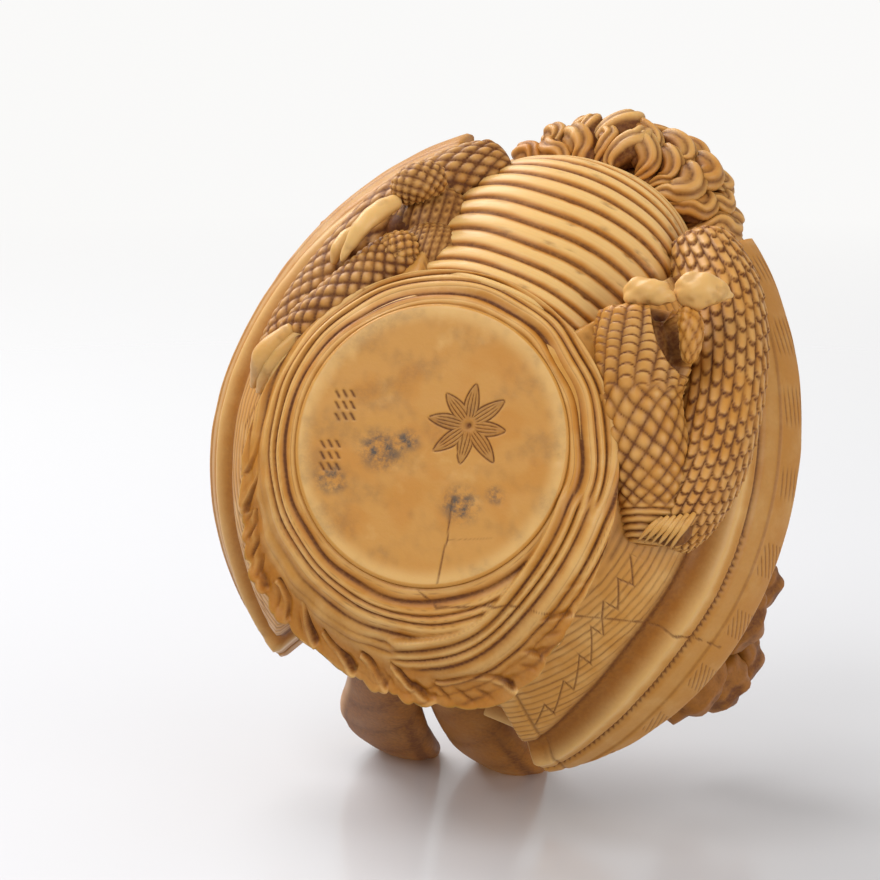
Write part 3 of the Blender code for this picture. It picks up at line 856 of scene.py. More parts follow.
class OKIMONO_OT_hull(bpy.types.Operator):
    """The ship's planked side, its channel, bead and toothed groove, the rail and the deck"""

    bl_idname = "okimono.hull"
    bl_label = "Hull"

    def execute(self, context):
        bearing_runs = (0.0, 0.12, 0.62, 1.0)
        bearings = (0.0, 84.0, 150.0, 360.0)
        keel_end, side_start, side_end, rail_end, wall_end = 0.015, 0.03, 0.885, 0.93, 0.965
        runs = (0.0, keel_end, side_start, 0.10, side_end, rail_end, wall_end, 1.0)
        levels = (0.02, 0.02, 0.05, 0.26, 1.0, 1.0, 1.0, 1.0)

        def bearing_of(u):
            return np.interp(u % 1.0, bearing_runs, bearings)

        def place(u, v):
            bearing = bearing_of(u)
            level = np.interp(v, runs, levels)
            side = hull_point(bearing, level)
            inner = inner_rail(bearing)
            deck = deck_share * inner_rail(bearing, spread=2.6)
            deck[:, 2] = deck_height
            middle = np.zeros_like(side)
            middle[:, 2] = np.where(v < 0.5, 0.02 * gunwale_height, deck_height)
            point = blend(middle, side, v, 0.0, keel_end)
            point = blend(point, inner, v, side_end, rail_end)
            point = blend(point, deck, v, rail_end, wall_end)
            return blend(point, middle, v, wall_end, 1.0)

        def dress(u, v, spot):
            tones = Tones(u)
            chosen = settings()
            bearing = bearing_of(u)
            level = np.interp(v, runs, levels)
            outer = (v < side_end) * (v > side_start)
            rise = level * slope_length
            own = own_level(bearing, level)
            drift = (bearing - 120.0) * 0.030 * mm
            wander = 0.25 * mm * mottle(spot, 9.0 * mm, 21) + 0.05 * mm * mottle(spot, 2.0 * mm, 22)
            planked = smooth(-own, -0.515, -0.49)
            phase = (rise + drift + wander) / chosen.plank_spacing
            grain = line_mark((phase - np.round(phase)) * chosen.plank_spacing, 0.12 * mm)
            grain = grain * (0.65 + 0.35 * np.cos(2.4 * np.round(phase)) ** 2) * planked
            side = from_bow(bearing)
            fold = ((side - ZIGZAG_LINE[0][0]) / zigzag_pitch) % 1.0
            saw = np.where(fold < 0.90, fold / 0.90, (1 - fold) / 0.10)
            joint = np.interp(side, *zip(*ZIGZAG_LINE))
            off_joint = (level - joint - 0.060 * (saw - 0.5)) * slope_length
            zigzag = line_mark(off_joint, 0.14 * mm + 0.40 * mm * (fold > 0.90))
            zigzag = zigzag * smooth(side, 96, 98) * smooth(-side, -146, -144)
            near = smooth(bearing, 82, 84) * smooth(-bearing, -152, -150)
            tooth = 0.012 * (np.abs(((bearing / tooth_pitch) % 1.0) * 2 - 1) * near + 0.5 * (1 - near))
            toothed = line_mark(own - groove_level + 0.006 - tooth, 0.0075)
            deep = line_mark(own - groove_level, 0.016)
            seam = line_mark(own - band_level, 0.007)
            group = np.abs(((side - hatch_start) / hatch_pitch + 0.5) % 1.0 - 0.5)
            stroke = ((0.10 + 0.476 * near) * bearing - 32.6 * level) % 1.0
            hatch = line_mark(stroke - 0.5, 0.20) * smooth(own, 0.835, 0.845)
            hatch = hatch * (level < 0.99) * (group < 0.215)
            channel = line_mark(own - channel_level - 0.004, 0.050)
            bead = line_mark(own - bead_level, 0.036)
            crack = photo_crack(spot) * smooth(bearing, 90, 95) * smooth(-bearing, -160, -155)
            end_edge = line_mark(side - 144.5 - 1.2 * level, 0.42) * smooth(level, 0.30, 0.36)
            lines = np.maximum.reduce([0.6 * grain, zigzag, crack])
            # Painted shade: the rail's face above the bead is darkened and made more amber, as the light
            # falls off there.
            rail_face_shade = smooth(own, 0.655, 0.70)
            tones.height = outer * (
                -chosen.cut_depth * lines - 0.10 * mm * toothed - 0.05 * mm * seam - 0.06 * mm * hatch
                - 0.12 * mm * end_edge + 0.16 * mm * bead - 0.14 * mm * channel
                + 0.03 * mm * mottle(spot, 5.0 * mm, 23)
            )
            # Painted shade: the band just inside the channel and the channel itself are darkened as their
            # shade, beside the stain in the real cuts.
            tones.stain_and_shade = outer * np.maximum.reduce([
                0.70 * grain, 0.95 * zigzag, toothed, 0.35 * deep, 0.50 * seam, 0.70 * hatch, 0.85 * crack,
                0.6 * end_edge, 0.95 * line_mark(own - 0.528, 0.046), 0.60 * channel, 0.20 * rail_face_shade,
            ])
            tones.amber = outer * np.clip(1.3 * channel + 0.14 * planked + 0.30 * rail_face_shade, 0, 1)
            # Painted highlight: the bead's crest is made pale; the flat band above the toothed groove is
            # paler too.
            tones.pale = outer * (1.1 * bead + 0.35 * smooth(own, 0.735, 0.76) * smooth(-own, -0.82, -0.80))
            inside = v > 0.94
            tones.stain_and_shade = np.where(inside, 0.35 + 0.2 * mottle(spot, 4.0 * mm, 24), tones.stain_and_shade)
            tones.amber = np.where(inside, 0.6, tones.amber)
            return tones

        piece = wrapped("hull", 470, 198, place, dress)
        finished(piece, ivory("ivory_hull", warmth=0.60), main=True)
        return {"FINISHED"}


class OKIMONO_OT_stern_wings(bpy.types.Operator):
    """The two rounded wings that stand up from the transom, with the rudder's slot between them"""

    bl_idname = "okimono.stern_wings"
    bl_label = "Stern wings"

    def execute(self, context):
        wings = []
        rail_top = gunwale_height + stern_rise
        inner_stern = inner_rail(np.array([180.0]))[0, 1] + 0.5 * mm
        for side, reach in wing_reaches.items():
            back = reach - wing_thickness / 2

            def place(u, v, side=side, back=back):
                line = along(WING_LINE, v)
                y, z, flare = line[:, 0], line[:, 1], line[:, 2]
                swell = np.sqrt(np.clip(1 - (np.maximum(0.0, v - 0.66) / 0.34) ** 2, 0, 1))
                swell = swell * np.sqrt(np.clip(v / 0.05, 0, 1))
                middle = np.stack([(side * 0.5 * flare + 0.1) * wing_width, y * back, z * wing_top], axis=-1)
                angle = 2 * math.pi * u
                wide = swell * flare * wing_width / 2 * np.cos(angle)
                deep = swell * wing_thickness / 2 * np.sin(angle)
                point = middle + np.stack([wide, deep, np.zeros_like(wide)], axis=-1)
                low = smooth(-point[:, 2], -rail_top - 1.5 * mm, -rail_top)
                point[:, 1] += low * np.maximum(0.0, inner_stern - point[:, 1])
                return point

            def dress(u, v, spot, side=side):
                tones = Tones(u)
                outward = np.cos(2 * math.pi * u)
                rim = line_mark(np.abs(outward) - 0.82, 0.09) * smooth(v, 0.35, 0.6)
                feather = np.abs(np.sin(18 * v + 2.0 * outward)) ** 0.5
                open_part = smooth(-v, -0.9, -0.75) * (1 - rim)
                tones.height = -0.16 * mm * rim - 0.07 * mm * (1 - feather) * open_part
                # Painted light and shade: the strip along the -X edge is kept pale as if lit, and the rest of
                # each wing below its tip is darkened as painted shade, the port wing more; the amber lightens
                # on the lit strip alone.
                lit = smooth(-outward, 0.72, 0.95)
                shade = (0.66 - 0.07 * side) * (1 - lit) * smooth(-v, -0.97, -0.85)
                tones.stain_and_shade = 0.35 * rim + 0.2 * (1 - feather) * open_part + shade
                tones.amber = 1.0 - 0.6 * lit + 0.15 * mottle(spot, 6.0 * mm, 31)
                return tones

            wings.append(wrapped(f"stern_wing_{side}", 72, 70, place, dress))
        piece = joined("stern_wings", wings)
        finished(piece, ivory("ivory_wings", warmth=0.66), main=True)
        return {"FINISHED"}


def breast_frame(share):
    """The breast's middle line, the way that it faces and its half width, at shares of its run."""
    line = along(BREAST_LINE, share)
    ahead = along(BREAST_LINE, share + 0.02) - along(BREAST_LINE, share - 0.02)
    zero = np.zeros_like(share)
    run = unit(np.stack([zero, -ahead[:, 0] * length_forward, ahead[:, 1] * gunwale_height], axis=-1))
    front = np.stack([zero, -run[:, 2], run[:, 1]], axis=-1)
    middle = np.stack([zero, -line[:, 0] * length_forward, line[:, 1] * gunwale_height], axis=-1)
    half = 0.5 * breast_width * (0.86 + 0.14 * np.sin(math.pi * np.clip(share * 1.25, 0, 1)))
    return middle, front, half


class OKIMONO_OT_breast(bpy.types.Operator):
    """The dragon's ribbed breast and throat"""

    bl_idname = "okimono.breast"
    bl_label = "Breast"

    def execute(self, context):
        def place(u, v):
            middle, front, half = breast_frame(v)
            swing = 2 * math.pi * (u - 0.5)
            close = rounded(v, 0.03, 0.04)
            depth = 0.5 * breast_depth
            across = (half * np.sin(swing) * close)[:, None] * np.array((1.0, 0.0, 0.0))
            return middle + across + front * (depth * (close * np.cos(swing) - 1))[:, None]

        def dress(u, v, spot):
            tones = Tones(u)
            chosen = settings()
            swing = 2 * math.pi * (u - 0.5)
            shift = 0.10 * np.cos(swing) + 0.06 * mottle(spot, 9.0 * mm, 41)
            phase = breast_ribs * v / 0.8 + shift
            round_top = np.abs(np.sin(math.pi * phase)) ** 0.5
            wave = np.abs(np.sin(math.pi * phase))
            trough = smooth(-wave, -0.86, -0.42)
            cut = smooth(-wave, -0.55, -0.12)
            faces = smooth(np.cos(swing), -0.25, 0.1)
            pits = smooth(mottle(spot, 1.0 * mm, 42), 1.05, 1.5)
            tones.height = faces * (chosen.rib_relief * (round_top - 0.6) - 0.12 * mm * pits)
            hairline = line_mark((phase * 6.0) % 1.0 - 0.5, 0.14) * round_top
            tones.stain_and_shade = faces * np.clip(0.85 * cut + 0.40 * pits + 0.06 * hairline, 0, 1)
            tones.amber = np.clip(0.95 * trough + 0.35 * smooth(-np.cos(swing), -0.75, -0.2), 0, 1)
            # Painted highlight: the rib crests on the front are made pale, on top of their polish.
            tones.pale = faces * smooth(wave, 0.6, 0.85) * smooth(np.cos(swing), 0.0, 0.7)
            return tones

        piece = wrapped("breast", 100, 220, place, dress)
        # Its low warmth makes the breast paler than the other pieces, partly its own tone and partly a
        # painted highlight.
        finished(piece, ivory("ivory_breast", warmth=0.34), main=True)
        return {"FINISHED"}


# The forelegs' knots: bearing in degrees, reach and height in millimetres, and share of the thickness
UPPER_ARM = (
    (22, 32.0, 20.0, 0.85), (35, 30.5, 16.5, 1.0), (50, 28.2, 13.2, 1.0),
    (68, 26.0, 10.4, 0.95), (82, 24.4, 8.8, 0.85), (91, 23.4, 8.4, 0.55),
)
FOREARM = (
    (93, 22.8, 8.0, 0.50), (84, 21.8, 7.4, 0.75), (72, 20.8, 6.6, 0.95),
    (54, 20.3, 6.0, 1.00), (40, 21.6, 6.2, 0.95), (33, 23.0, 6.6, 0.70),
)
PORT_UPPER_ARM = (
    (17, 32.0, 18.0, 0.62), (26, 29.6, 15.6, 0.80), (38, 26.4, 13.2, 0.92), (55, 22.9, 11.8, 0.95),
    (70, 21.4, 10.4, 0.90), (84, 20.6, 9.2, 0.80), (92, 20.3, 8.6, 0.55),
)


def limb(knots, side, swell=1.0):
    """A limb along the hull through knots of bearing, reach, height and share of its thickness."""
    points = [polar(side * b, r, z) for b, r, z, _ in knots]
    radii = [0.5 * arm_thickness * swell * share for _, _, _, share in knots]
    return tube(points, radii, below)


def kept_under_deck(place):
    """A form that is pressed down below the deck wherever it comes inside the rail."""

    def lowered(u, v):
        point = place(u, v)
        lid = deck_height - 0.9 * mm
        inside = np.hypot(
            2 * point[:, 0] / (beam - 2 * rail_thickness), point[:, 1] / (length_forward - rail_thickness),
        ) < 1.0
        inside &= point[:, 1] > rail_thickness - bow_cut
        point[:, 2] = np.where(inside, np.minimum(point[:, 2], lid), point[:, 2])
        return point

    return lowered


def net(around, run, cells, rows, overlap=0.35):
    """Netted scales: two families of cuts cross, and each scale rises towards its free end."""
    p = around * cells + run * rows
    q = around * cells - run * rows
    fp = p - np.floor(p)
    fq = q - np.floor(q)
    dome = np.clip(np.sin(math.pi * fp) * np.sin(math.pi * fq), 0, 1) ** 0.42
    lift = 1 - overlap + overlap * 0.5 * (fp + 1 - fq)
    return dome * lift, (1 - dome) ** 1.4


def tongues(around, run, cells, rows):
    """Rows of long scales: each row is set half a scale along from the last, and ends in a lip."""
    lane = around * cells
    k = np.floor(lane)
    across = lane - k - 0.5
    place = run * rows + 0.5 * (k % 2) + 0.35 * (2 * across) ** 2
    share = place - np.floor(place)
    ridge = np.clip(1 - (2 * across) ** 2, 0, 1) ** 0.45
    height = ridge * (0.35 + 0.65 * share**0.7) * smooth(-share, -1.0, -0.93)
    gap = np.maximum((1 - ridge) ** 1.2, line_mark(share, 0.10) + line_mark(share - 1, 0.10))
    return height, np.clip(gap, 0, 1)


def scaled(seed, pattern, relief, wear=0.0, ground=0.0):
    """A dress of scales from a pattern of u and v, with uneven stain in the gaps."""

    def dress(u, v, spot):
        tones = Tones(u)
        swing = 0.0025 * mottle(spot, 3.0 * mm, seed)
        height, gap = pattern(u + swing, v + swing)
        uneven = 0.85 + 0.2 * mottle(spot, 3.0 * mm, seed + 1)
        ends = smooth(v, 0.02, 0.06) * smooth(-v, -0.98, -0.94)
        tones.height = ends * relief * (height - 0.5)
        tones.stain_and_shade = np.clip(ground + 1.5 * gap ** (0.85 - ground) * uneven * (1 - wear), 0, 1)
        tones.amber = 0.32 + 0.6 * gap
        tones.pale = (0.55 - ground) * smooth(height, 0.6, 1.0)
        return tones

    return dress


def smooth_horn(seed, pale=0.8, tip_stain=0.0, pits=0.05, side_shade=0.0):
    """A dress for claws, horns and whiskers: polished, faintly pitted, with amber and painted shade down its
    sides.
    """

    def dress(u, v, spot):
        tones = Tones(u)
        grain = smooth(mottle(spot, 1.1 * mm, seed + 1), 0.4, 1.2)
        tones.height = pits * mm * mottle(spot, 1.6 * mm, seed) - pits * mm * grain
        # The sides turned from the facing get amber, and are darkened as painted shade where the caller asks
        # for it.
        sides = smooth(np.abs(u - 0.5), 0.14, 0.27)
        tones.stain_and_shade = 0.22 * grain + tip_stain * smooth(v, 0.7, 1.0) + side_shade * sides
        tones.amber = 0.5 * sides
        tones.pale = np.full_like(u, pale)
        return tones

    return dress


def right_forearm_pattern(u, v):
    """Finger ridges at the paw, netted scales along the forearm and broad plates at the elbow."""
    fingers, finger_gap = tongues(u, v, 17.0, 26.0)
    netted, net_gap = net(u, v, 14.0, 15.0)
    around = 2 * math.pi * (u - 0.5)
    plates = np.abs(np.sin(math.pi * (v * 26.0 - 0.8 * np.cos(around)))) ** 0.5
    to_paw = smooth(v, 0.60, 0.66)
    to_elbow = smooth(-v, -0.27, -0.20)
    height = fingers * to_paw + plates * to_elbow + netted * (1 - to_paw) * (1 - to_elbow)
    gap = finger_gap * to_paw + (1 - plates) ** 1.2 * to_elbow + net_gap * (1 - to_paw) * (1 - to_elbow)
    return height, gap


def right_foreleg():
    """The starboard foreleg, nearest the camera: hollow paw, two round claws and a comb of hair."""
    chosen = settings()
    upper = wrapped(
        "upper", 130, 170, kept_under_deck(limb(UPPER_ARM, 1)),
        scaled(51, lambda u, v: tongues(u, v, 24.0, 24.0), 1.3 * chosen.scale_relief), focus=0.5,
    )
    plain = scaled(53, right_forearm_pattern, 1.15 * chosen.scale_relief)

    def forearm_dress(u, v, spot):
        tones = plain(u, v, spot)
        inside = photo_leaf(spot, *PAW_HOLLOW, paw_hollow_half) * smooth(-np.abs(u - 0.5), -0.30, -0.26)
        tones.height = tones.height * (1 - inside) - 1.9 * mm * inside**1.3
        # Painted shade: the paw's hollow is pressed in and darkened all over as its shade, and loses its
        # pale.
        strand = np.abs(np.sin(60 * u + 9 * v))
        deep = (0.75 + 0.25 * strand) * smooth(inside, 0.1, 0.6)
        tones.stain_and_shade = np.maximum(tones.stain_and_shade * (1 - inside), deep)
        tones.pale = tones.pale * (1 - inside)
        return tones

    paw = [*FOREARM[:-2], (41, 22.6, 6.4, 1.12), (33, 25.0, 6.6, 0.98)]
    lower = wrapped("lower", 140, 180, limb(paw, 1), forearm_dress, focus=0.5)
    forms = [upper, lower]
    claws = (
        ((28.5, 24.2, 4.6), (32.0, 26.4, 3.7), (36.5, 28.3, 4.4), (1.25, 1.35, 0.75)),
        ((35.0, 28.6, 6.0), (37.5, 30.8, 5.2), (40.5, 33.2, 6.6), (1.55, 1.85, 0.55)),
        ((38.5, 28.0, 5.6), (43.0, 28.2, 4.6), (50.0, 26.6, 4.8), (0.95, 1.25, 0.85)),
    )
    for k, (first, second, third, radii) in enumerate(claws):
        points = [polar(*first), polar(*second), polar(*third)]
        body = tube(points, [r * mm for r in radii], below, start=0.3, end=0.3)
        skin = smooth_horn(56 + k, 0.75, pits=0.17)
        if k == 2:
            skin = scaled(60, lambda u, v: net(u, v, 6.0, 4.0), chosen.scale_relief, wear=0.4)
        forms.append(wrapped(f"claw_{k}", 40, 40, body, skin))
    # Painted shade: the bed under the comb's teeth is dark all over, so the gaps between the teeth read as
    # shade.
    painted_shade_bed = ball(polar(86.8, 24.5, 6.0), (2.4 * mm, 1.9 * mm, 1.3 * mm))
    forms.append(wrapped("comb_painted_shade_bed", 30, 20, painted_shade_bed, plain_dress(69, 0.95, 0.7, least=0.85)))
    teeth = 6
    for k in range(teeth):
        share = k / (teeth - 1)
        root = polar(82.2 + 2.9 * share, 26.8 - 2.8 * share, 5.2 - 0.9 * share)
        bend = polar(86.1 + 2.6 * share, 26.3 - 3.1 * share, 4.7 - 0.6 * share)
        tip = polar(91.6 + 1.4 * share, 25.5 - 3.2 * share, 5.6 - 0.6 * share)
        body = tube([root, bend, tip], [0.22 * mm, 0.36 * mm, 0.05 * mm], below)
        # The teeth's sides are darkened as painted shade.
        skin = smooth_horn(70 + k, 0.1, tip_stain=0.5, side_shade=1.0)
        forms.append(wrapped(f"tooth_{k}", 24, 24, body, skin))
    return joined("foreleg_starboard", forms)


def left_foreleg():
    """The port foreleg: cross-cut scales, a long claw over the knuckle and a smooth tuft."""
    fine = 1.45 * settings().scale_relief
    upper = wrapped(
        "upper", 130, 140, kept_under_deck(limb(PORT_UPPER_ARM, -1)),
        scaled(81, lambda u, v: net(u, v, 14.0, 17.0, 0.2), fine, ground=0.18), focus=0.5,
    )
    slim = [(b, r - 1.7, z - 0.2, 0.78 * t) for b, r, z, t in FOREARM]

    plain = scaled(83, lambda u, v: net(u, v, 12.0, 15.0, 0.2), fine, ground=0.18)

    def combed(u, v, spot):
        tones = plain(u, v, spot)
        bare = smooth(-v, -0.26, -0.16)
        hair = np.abs(np.sin(55 * u + 4 * v)) ** 0.6
        tones.height = tones.height * (1 - bare) + 0.10 * mm * hair * bare
        tones.stain_and_shade = tones.stain_and_shade * (1 - bare) + 0.30 * (1 - hair) * bare
        tones.pale = tones.pale + 0.3 * bare
        return tones

    forms = [*port_shoulder(), upper, wrapped("lower", 130, 140, limb(slim, -1), combed, focus=0.5)]
    claws = (
        ((-35.0, 27.0, 7.2), (-38.5, 25.9, 5.0), (-43.5, 24.5, 3.6), (-51.8, 22.6, 4.4)),
        ((-46.0, 26.0, 8.4), (-49.0, 25.2, 6.8), (-52.0, 24.4, 6.2), (-55.0, 23.6, 6.8)),
    )
    for k, knots in enumerate(claws):
        radii = [r * (1 - 0.2 * k) * mm for r in (0.8, 1.05, 0.95, 0.3)]
        body = tube([polar(*knot) for knot in knots], radii, below, start=0.12, end=0.12)
        # The claws' sides turned from below are darkened as painted shade.
        skin = smooth_horn(87, 1.0 - 0.6 * k, side_shade=0.35 + 0.4 * k)
        forms.append(wrapped(f"claw_{k}", 36, 50, body, skin))
    digit = tube(
        [polar(-35.5, 27.6, 7.8), polar(-31.0, 28.4, 7.6), polar(-26.0, 29.2, 9.6)],
        [1.2 * mm, 2.0 * mm, 1.6 * mm], below, start=0.2, end=0.2,
    )
    skin = scaled(90, lambda u, v: net(u, v, 9.0, 7.0), fine, ground=0.12)
    forms.append(wrapped("digit", 50, 44, digit, skin))
    knuckle = ball(polar(-35.8, 21.2, 5.4), (2.5 * mm, 2.1 * mm, 2.2 * mm), (20, 80, 30))
    skin = scaled(91, lambda u, v: net(u, v, 9.0, 6.0), 1.2 * fine)
    forms.append(wrapped("knuckle", 56, 40, knuckle, skin))
    # Painted shade: a small ball, dark all over, stands for a shadowed hole by the knuckle.
    painted_shadow_pit = ball(polar(-35.6, 24.2, 10.2), (2.8 * mm, 2.4 * mm, 2.4 * mm))
    forms.append(wrapped("painted_shadow_pit", 24, 16, painted_shadow_pit, plain_dress(97, 1.0, 0.6, least=1.0)))
    for k in range(4):
        share = k / 3
        root = polar(-70.0 - 3.0 * share, 16.9 + 3.6 * share, 4.6 - 1.0 * share)
        bend = polar(-84.0, 18.0 + 3.6 * share, 4.6 - 0.6 * share)
        tip = polar(-95.0 - 1.5 * math.sin(1.7 * k), 20.2 + 2.4 * share, 7.0)
        body = tube([root, bend, tip], [0.7 * mm, 1.25 * mm, 0.3 * mm], below)
        # The tufts' sides turned from below are darkened as painted shade.
        forms.append(wrapped(f"tuft_{k}", 28, 30, body, smooth_horn(95 + k, 0.5, side_shade=0.4)))
    return joined("foreleg_port", forms)


def port_shoulder():
    """The rough skin behind the port paw, where the foreleg joins the breast."""
    forms = []
    for k, (where, size) in enumerate((((-31.5, 24.4, 12.4), 4.8), ((-29.5, 20.6, 8.4), 3.6))):
        body = ball(polar(*where), (size * mm, size * mm, size * mm), (0, 90, 25))
        rough = scaled(98, lambda u, v: net(u, v, 16.0, 12.0, 0.2), settings().scale_relief, ground=0.16)
        forms.append(wrapped(f"shoulder_{k}", 66, 48, body, rough))
    return forms


class OKIMONO_OT_forelegs(bpy.types.Operator):
    """The dragon's two scaled forelegs, with their paws, claws and tufts of hair"""

    bl_idname = "okimono.forelegs"
    bl_label = "Forelegs"

    def execute(self, context):
        for piece in (right_foreleg(), left_foreleg()):
            finished(piece, ivory("ivory_legs", warmth=0.55), main=True)
        return {"FINISHED"}


class OKIMONO_OT_head(bpy.types.Operator):
    """The dragon's head: long snout, heavy brows, swept horns, whiskers and ears, facing the bow"""

    bl_idname = "okimono.head"
    bl_label = "Head"

    def execute(self, context):
        half = head_width / 2
        middle = np.array((0.0, -0.74 * length_forward, head_height))
        relief = 0.8 * settings().scale_relief

        def at(x, y, z):
            return middle + half * np.array((x, y, z))

        def body(name, where, radii, tilt=(0, 0, 0), columns=44, rows=28, dress=smooth_horn(101, 0.3)):
            return wrapped(name, columns, rows, ball(where, [r * half for r in radii], tilt), dress)

        def strand(name, points, radii, dress):
            shape = tube(points, [r * half for r in radii], (0.1, -0.3, 1.0), start=0.1, end=0.1)
            return wrapped(name, 24, 28, shape, dress)

        scaly = scaled(103, lambda u, v: net(u, v, 16.0, 10.0, 0.3), relief)
        forms = [
            body("skull", at(0, 0.1, 0.15), (0.92, 1.1, 0.8), columns=100, rows=70, dress=scaly),
            body("neck", at(0, 0.35, -0.9), (1.15, 1.15, 1.4), columns=90, rows=60, dress=scaly),
            body("snout", at(0, -0.85, 0.08), (0.6, 0.8, 0.38), (-6, 0, 0)),
            body("jaw", at(0, -0.72, -0.5), (0.54, 0.78, 0.22), (12, 0, 0)),
        ]
        for side in (-1, 1):
            forms.append(body(f"nostril_{side}", at(0.3 * side, -1.45, 0.26), (0.22, 0.22, 0.22)))
            forms.append(body(f"eye_{side}", at(0.5 * side, -0.62, 0.5), (0.22, 0.22, 0.22)))
            ear = at(0.98 * side, 0.35, 0.3)
            forms.append(body(f"ear_{side}", ear, (0.28, 0.5, 0.2), (0, 0, -35 * side)))
            brow = (at(0.12 * side, -0.95, 0.6), at(0.6 * side, -0.6, 0.85), at(1.0 * side, 0.1, 0.75))
            forms.append(strand(f"brow_{side}", brow, (0.14, 0.22, 0.08), smooth_horn(105, 0.5)))
            reach = horn_length / half
            horn = (
                at(0.4 * side, 0.1, 0.7), at(0.5 * side, 0.1 + 0.42 * reach, 0.7 + 0.42 * reach),
                at(0.62 * side, 0.1 + 0.8 * reach, 0.7 + 0.5 * reach),
            )
            forms.append(strand(f"horn_{side}", horn, (0.24, 0.18, 0.08), smooth_horn(107, 0.9)))
            whisker = (at(0.42 * side, -1.3, 0.0), at(0.95 * side, -1.1, -0.15), at(1.2 * side, -0.4, 0.1))
            forms.append(strand(f"whisker_{side}", whisker, (0.13, 0.12, 0.1), smooth_horn(109, 0.7)))
            for k in range(3):
                fang = at(0.36 * side, -1.25 + 0.32 * k, -0.14)
                tip = fang - half * np.array((0, 0, 0.26))
                forms.append(strand(f"fang_{side}_{k}", (fang, tip), (0.07, 0.02), smooth_horn(111, 1.0)))
        for k in range(12):
            row, column = divmod(k, 4)
            side = (column - 1.5) / 1.5 + 0.22 * (row % 2)
            sway = 0.14 * math.sin(1.9 * k)
            line = [
                at(0.55 * side, 0.78 + 0.10 * row, 0.62 - 0.55 * row),
                at(0.80 * side + sway, 1.22 + 0.08 * row, 0.34 - 0.55 * row),
                at(0.86 * side - sway, 1.44, -0.16 - 0.55 * row),
                at(0.98 * side + sway, 1.40, -0.62 - 0.55 * row),
                at(1.10 * side - sway, 1.56, -0.98 - 0.50 * row),
            ]
            radii = [r * half for r in (0.12, 0.20, 0.22, 0.16, 0.04)]
            shape = tube(line, radii, (0.0, 1.0, 0.2), start=0.1, end=0.1)
            forms.append(wrapped(f"mane_{k}", 28, 28, shape, strands(160 + k, 4)))
        finished(joined("head", forms), ivory("ivory_head", warmth=0.55), main=True)
        return {"FINISHED"}


def strands(seed, count):
    """A dress for hair: combed lines with stain between them, painted shade on sides and root, painted
    highlight in front.
    """

    def dress(u, v, spot):
        tones = Tones(u)
        comb = np.abs(np.sin(math.pi * (count * u + 0.8 * np.sin(3 * v)))) ** 0.8
        ends = smooth(v, 0.05, 0.2)
        away = smooth(np.abs(u - 0.5), 0.10, 0.26)
        tones.height = 0.34 * mm * (comb - 0.6) * ends
        # Painted shade darkens the lock's sides, turned from its facing, and its root; the combed crests on
        # its front get a painted highlight.
        tones.stain_and_shade = np.clip(0.95 * (1 - comb) * ends + 0.85 * away + 0.45 * smooth(-v, -0.3, -0.05), 0, 1)
        tones.amber = np.clip(0.35 + 0.5 * away + 0.3 * mottle(spot, 5.0 * mm, seed), 0, 1)
        tones.pale = 0.6 * (1 - away) * comb
        return tones

    return dress


class OKIMONO_OT_beard(bpy.types.Operator):
    """The ruff of curled locks round the dragon's throat"""

    bl_idname = "okimono.beard"
    bl_label = "Beard"

    def execute(self, context):
        half = np.array((ruff_width / 2, 0.4 * ruff_width, 0.23 * ruff_width))
        middle = np.array((0.0, half[1] - ruff_reach, ruff_height))

        # Painted shade: the ruff under the locks is dark all over, so that the gaps between the locks read as
        # shade.
        forms = [wrapped("ruff", 60, 40, ball(middle, half * 0.86), plain_dress(118, 1.0, 0.9, 0.8))]
        rows = ((8, 58, -44), (9, 72, -20), (9, 82, 4), (8, 84, 28))
        for row, (count, spread, climb) in enumerate(rows):
            for k in range(count):
                start = spread * (2 * k / (count - 1) - 1)
                turn = 1 if start + 12 * math.sin(2.2 * row) > 0 else -1
                line = []
                for share in (0.0, 0.2, 0.4, 0.6, 0.8, 1.0):
                    sweep = turn * (16 * share + 5 * math.sin(2 * math.pi * share + 0.8 * k))
                    slope = math.radians(climb + 22 - 42 * share + 5 * math.sin(3.1 * k))
                    ahead = turned(np.float64(start - 8 * turn + sweep))
                    out = ahead * math.cos(slope) + up * math.sin(slope)
                    line.append(middle + half * out * (0.86 + 0.27 * math.sin(math.pi * share**0.7) ** 0.7))
                thick = 0.5 * lock_thickness * (0.74 + 0.14 * math.sin(2.3 * k + row))
                radii = [thick * size for size in (0.5, 0.95, 1.1, 0.95, 0.6, 0.05)]
                shape = tube(line, radii, unit(line[2] - middle), squeeze=0.8, start=0.1, end=0.2)
                forms.append(wrapped(f"lock_{row}_{k}", 42, 32, shape, strands(120 + k, 7)))
        finished(joined("beard", forms), ivory("ivory_beard", warmth=0.60), main=True)
        return {"FINISHED"}


def plain_dress(seed, stain_and_shade=0.2, amber=0.4, least=0.0):
    """A dress for worn carving with no lines: soft swells and an uneven dark tone, never under the least."""

    def dress(u, v, spot):
        tones = Tones(u)
        tones.height = 0.06 * mm * mottle(spot, 2.5 * mm, seed)
        # This dark tone is stain on the load, and painted shade on the pit, the comb's bed and the ruff.
        tones.stain_and_shade = least + (stain_and_shade - least) * smooth(mottle(spot, 3.0 * mm, seed + 1), -0.2, 1.0)
        tones.amber = np.full_like(u, amber)
        return tones

    return dress


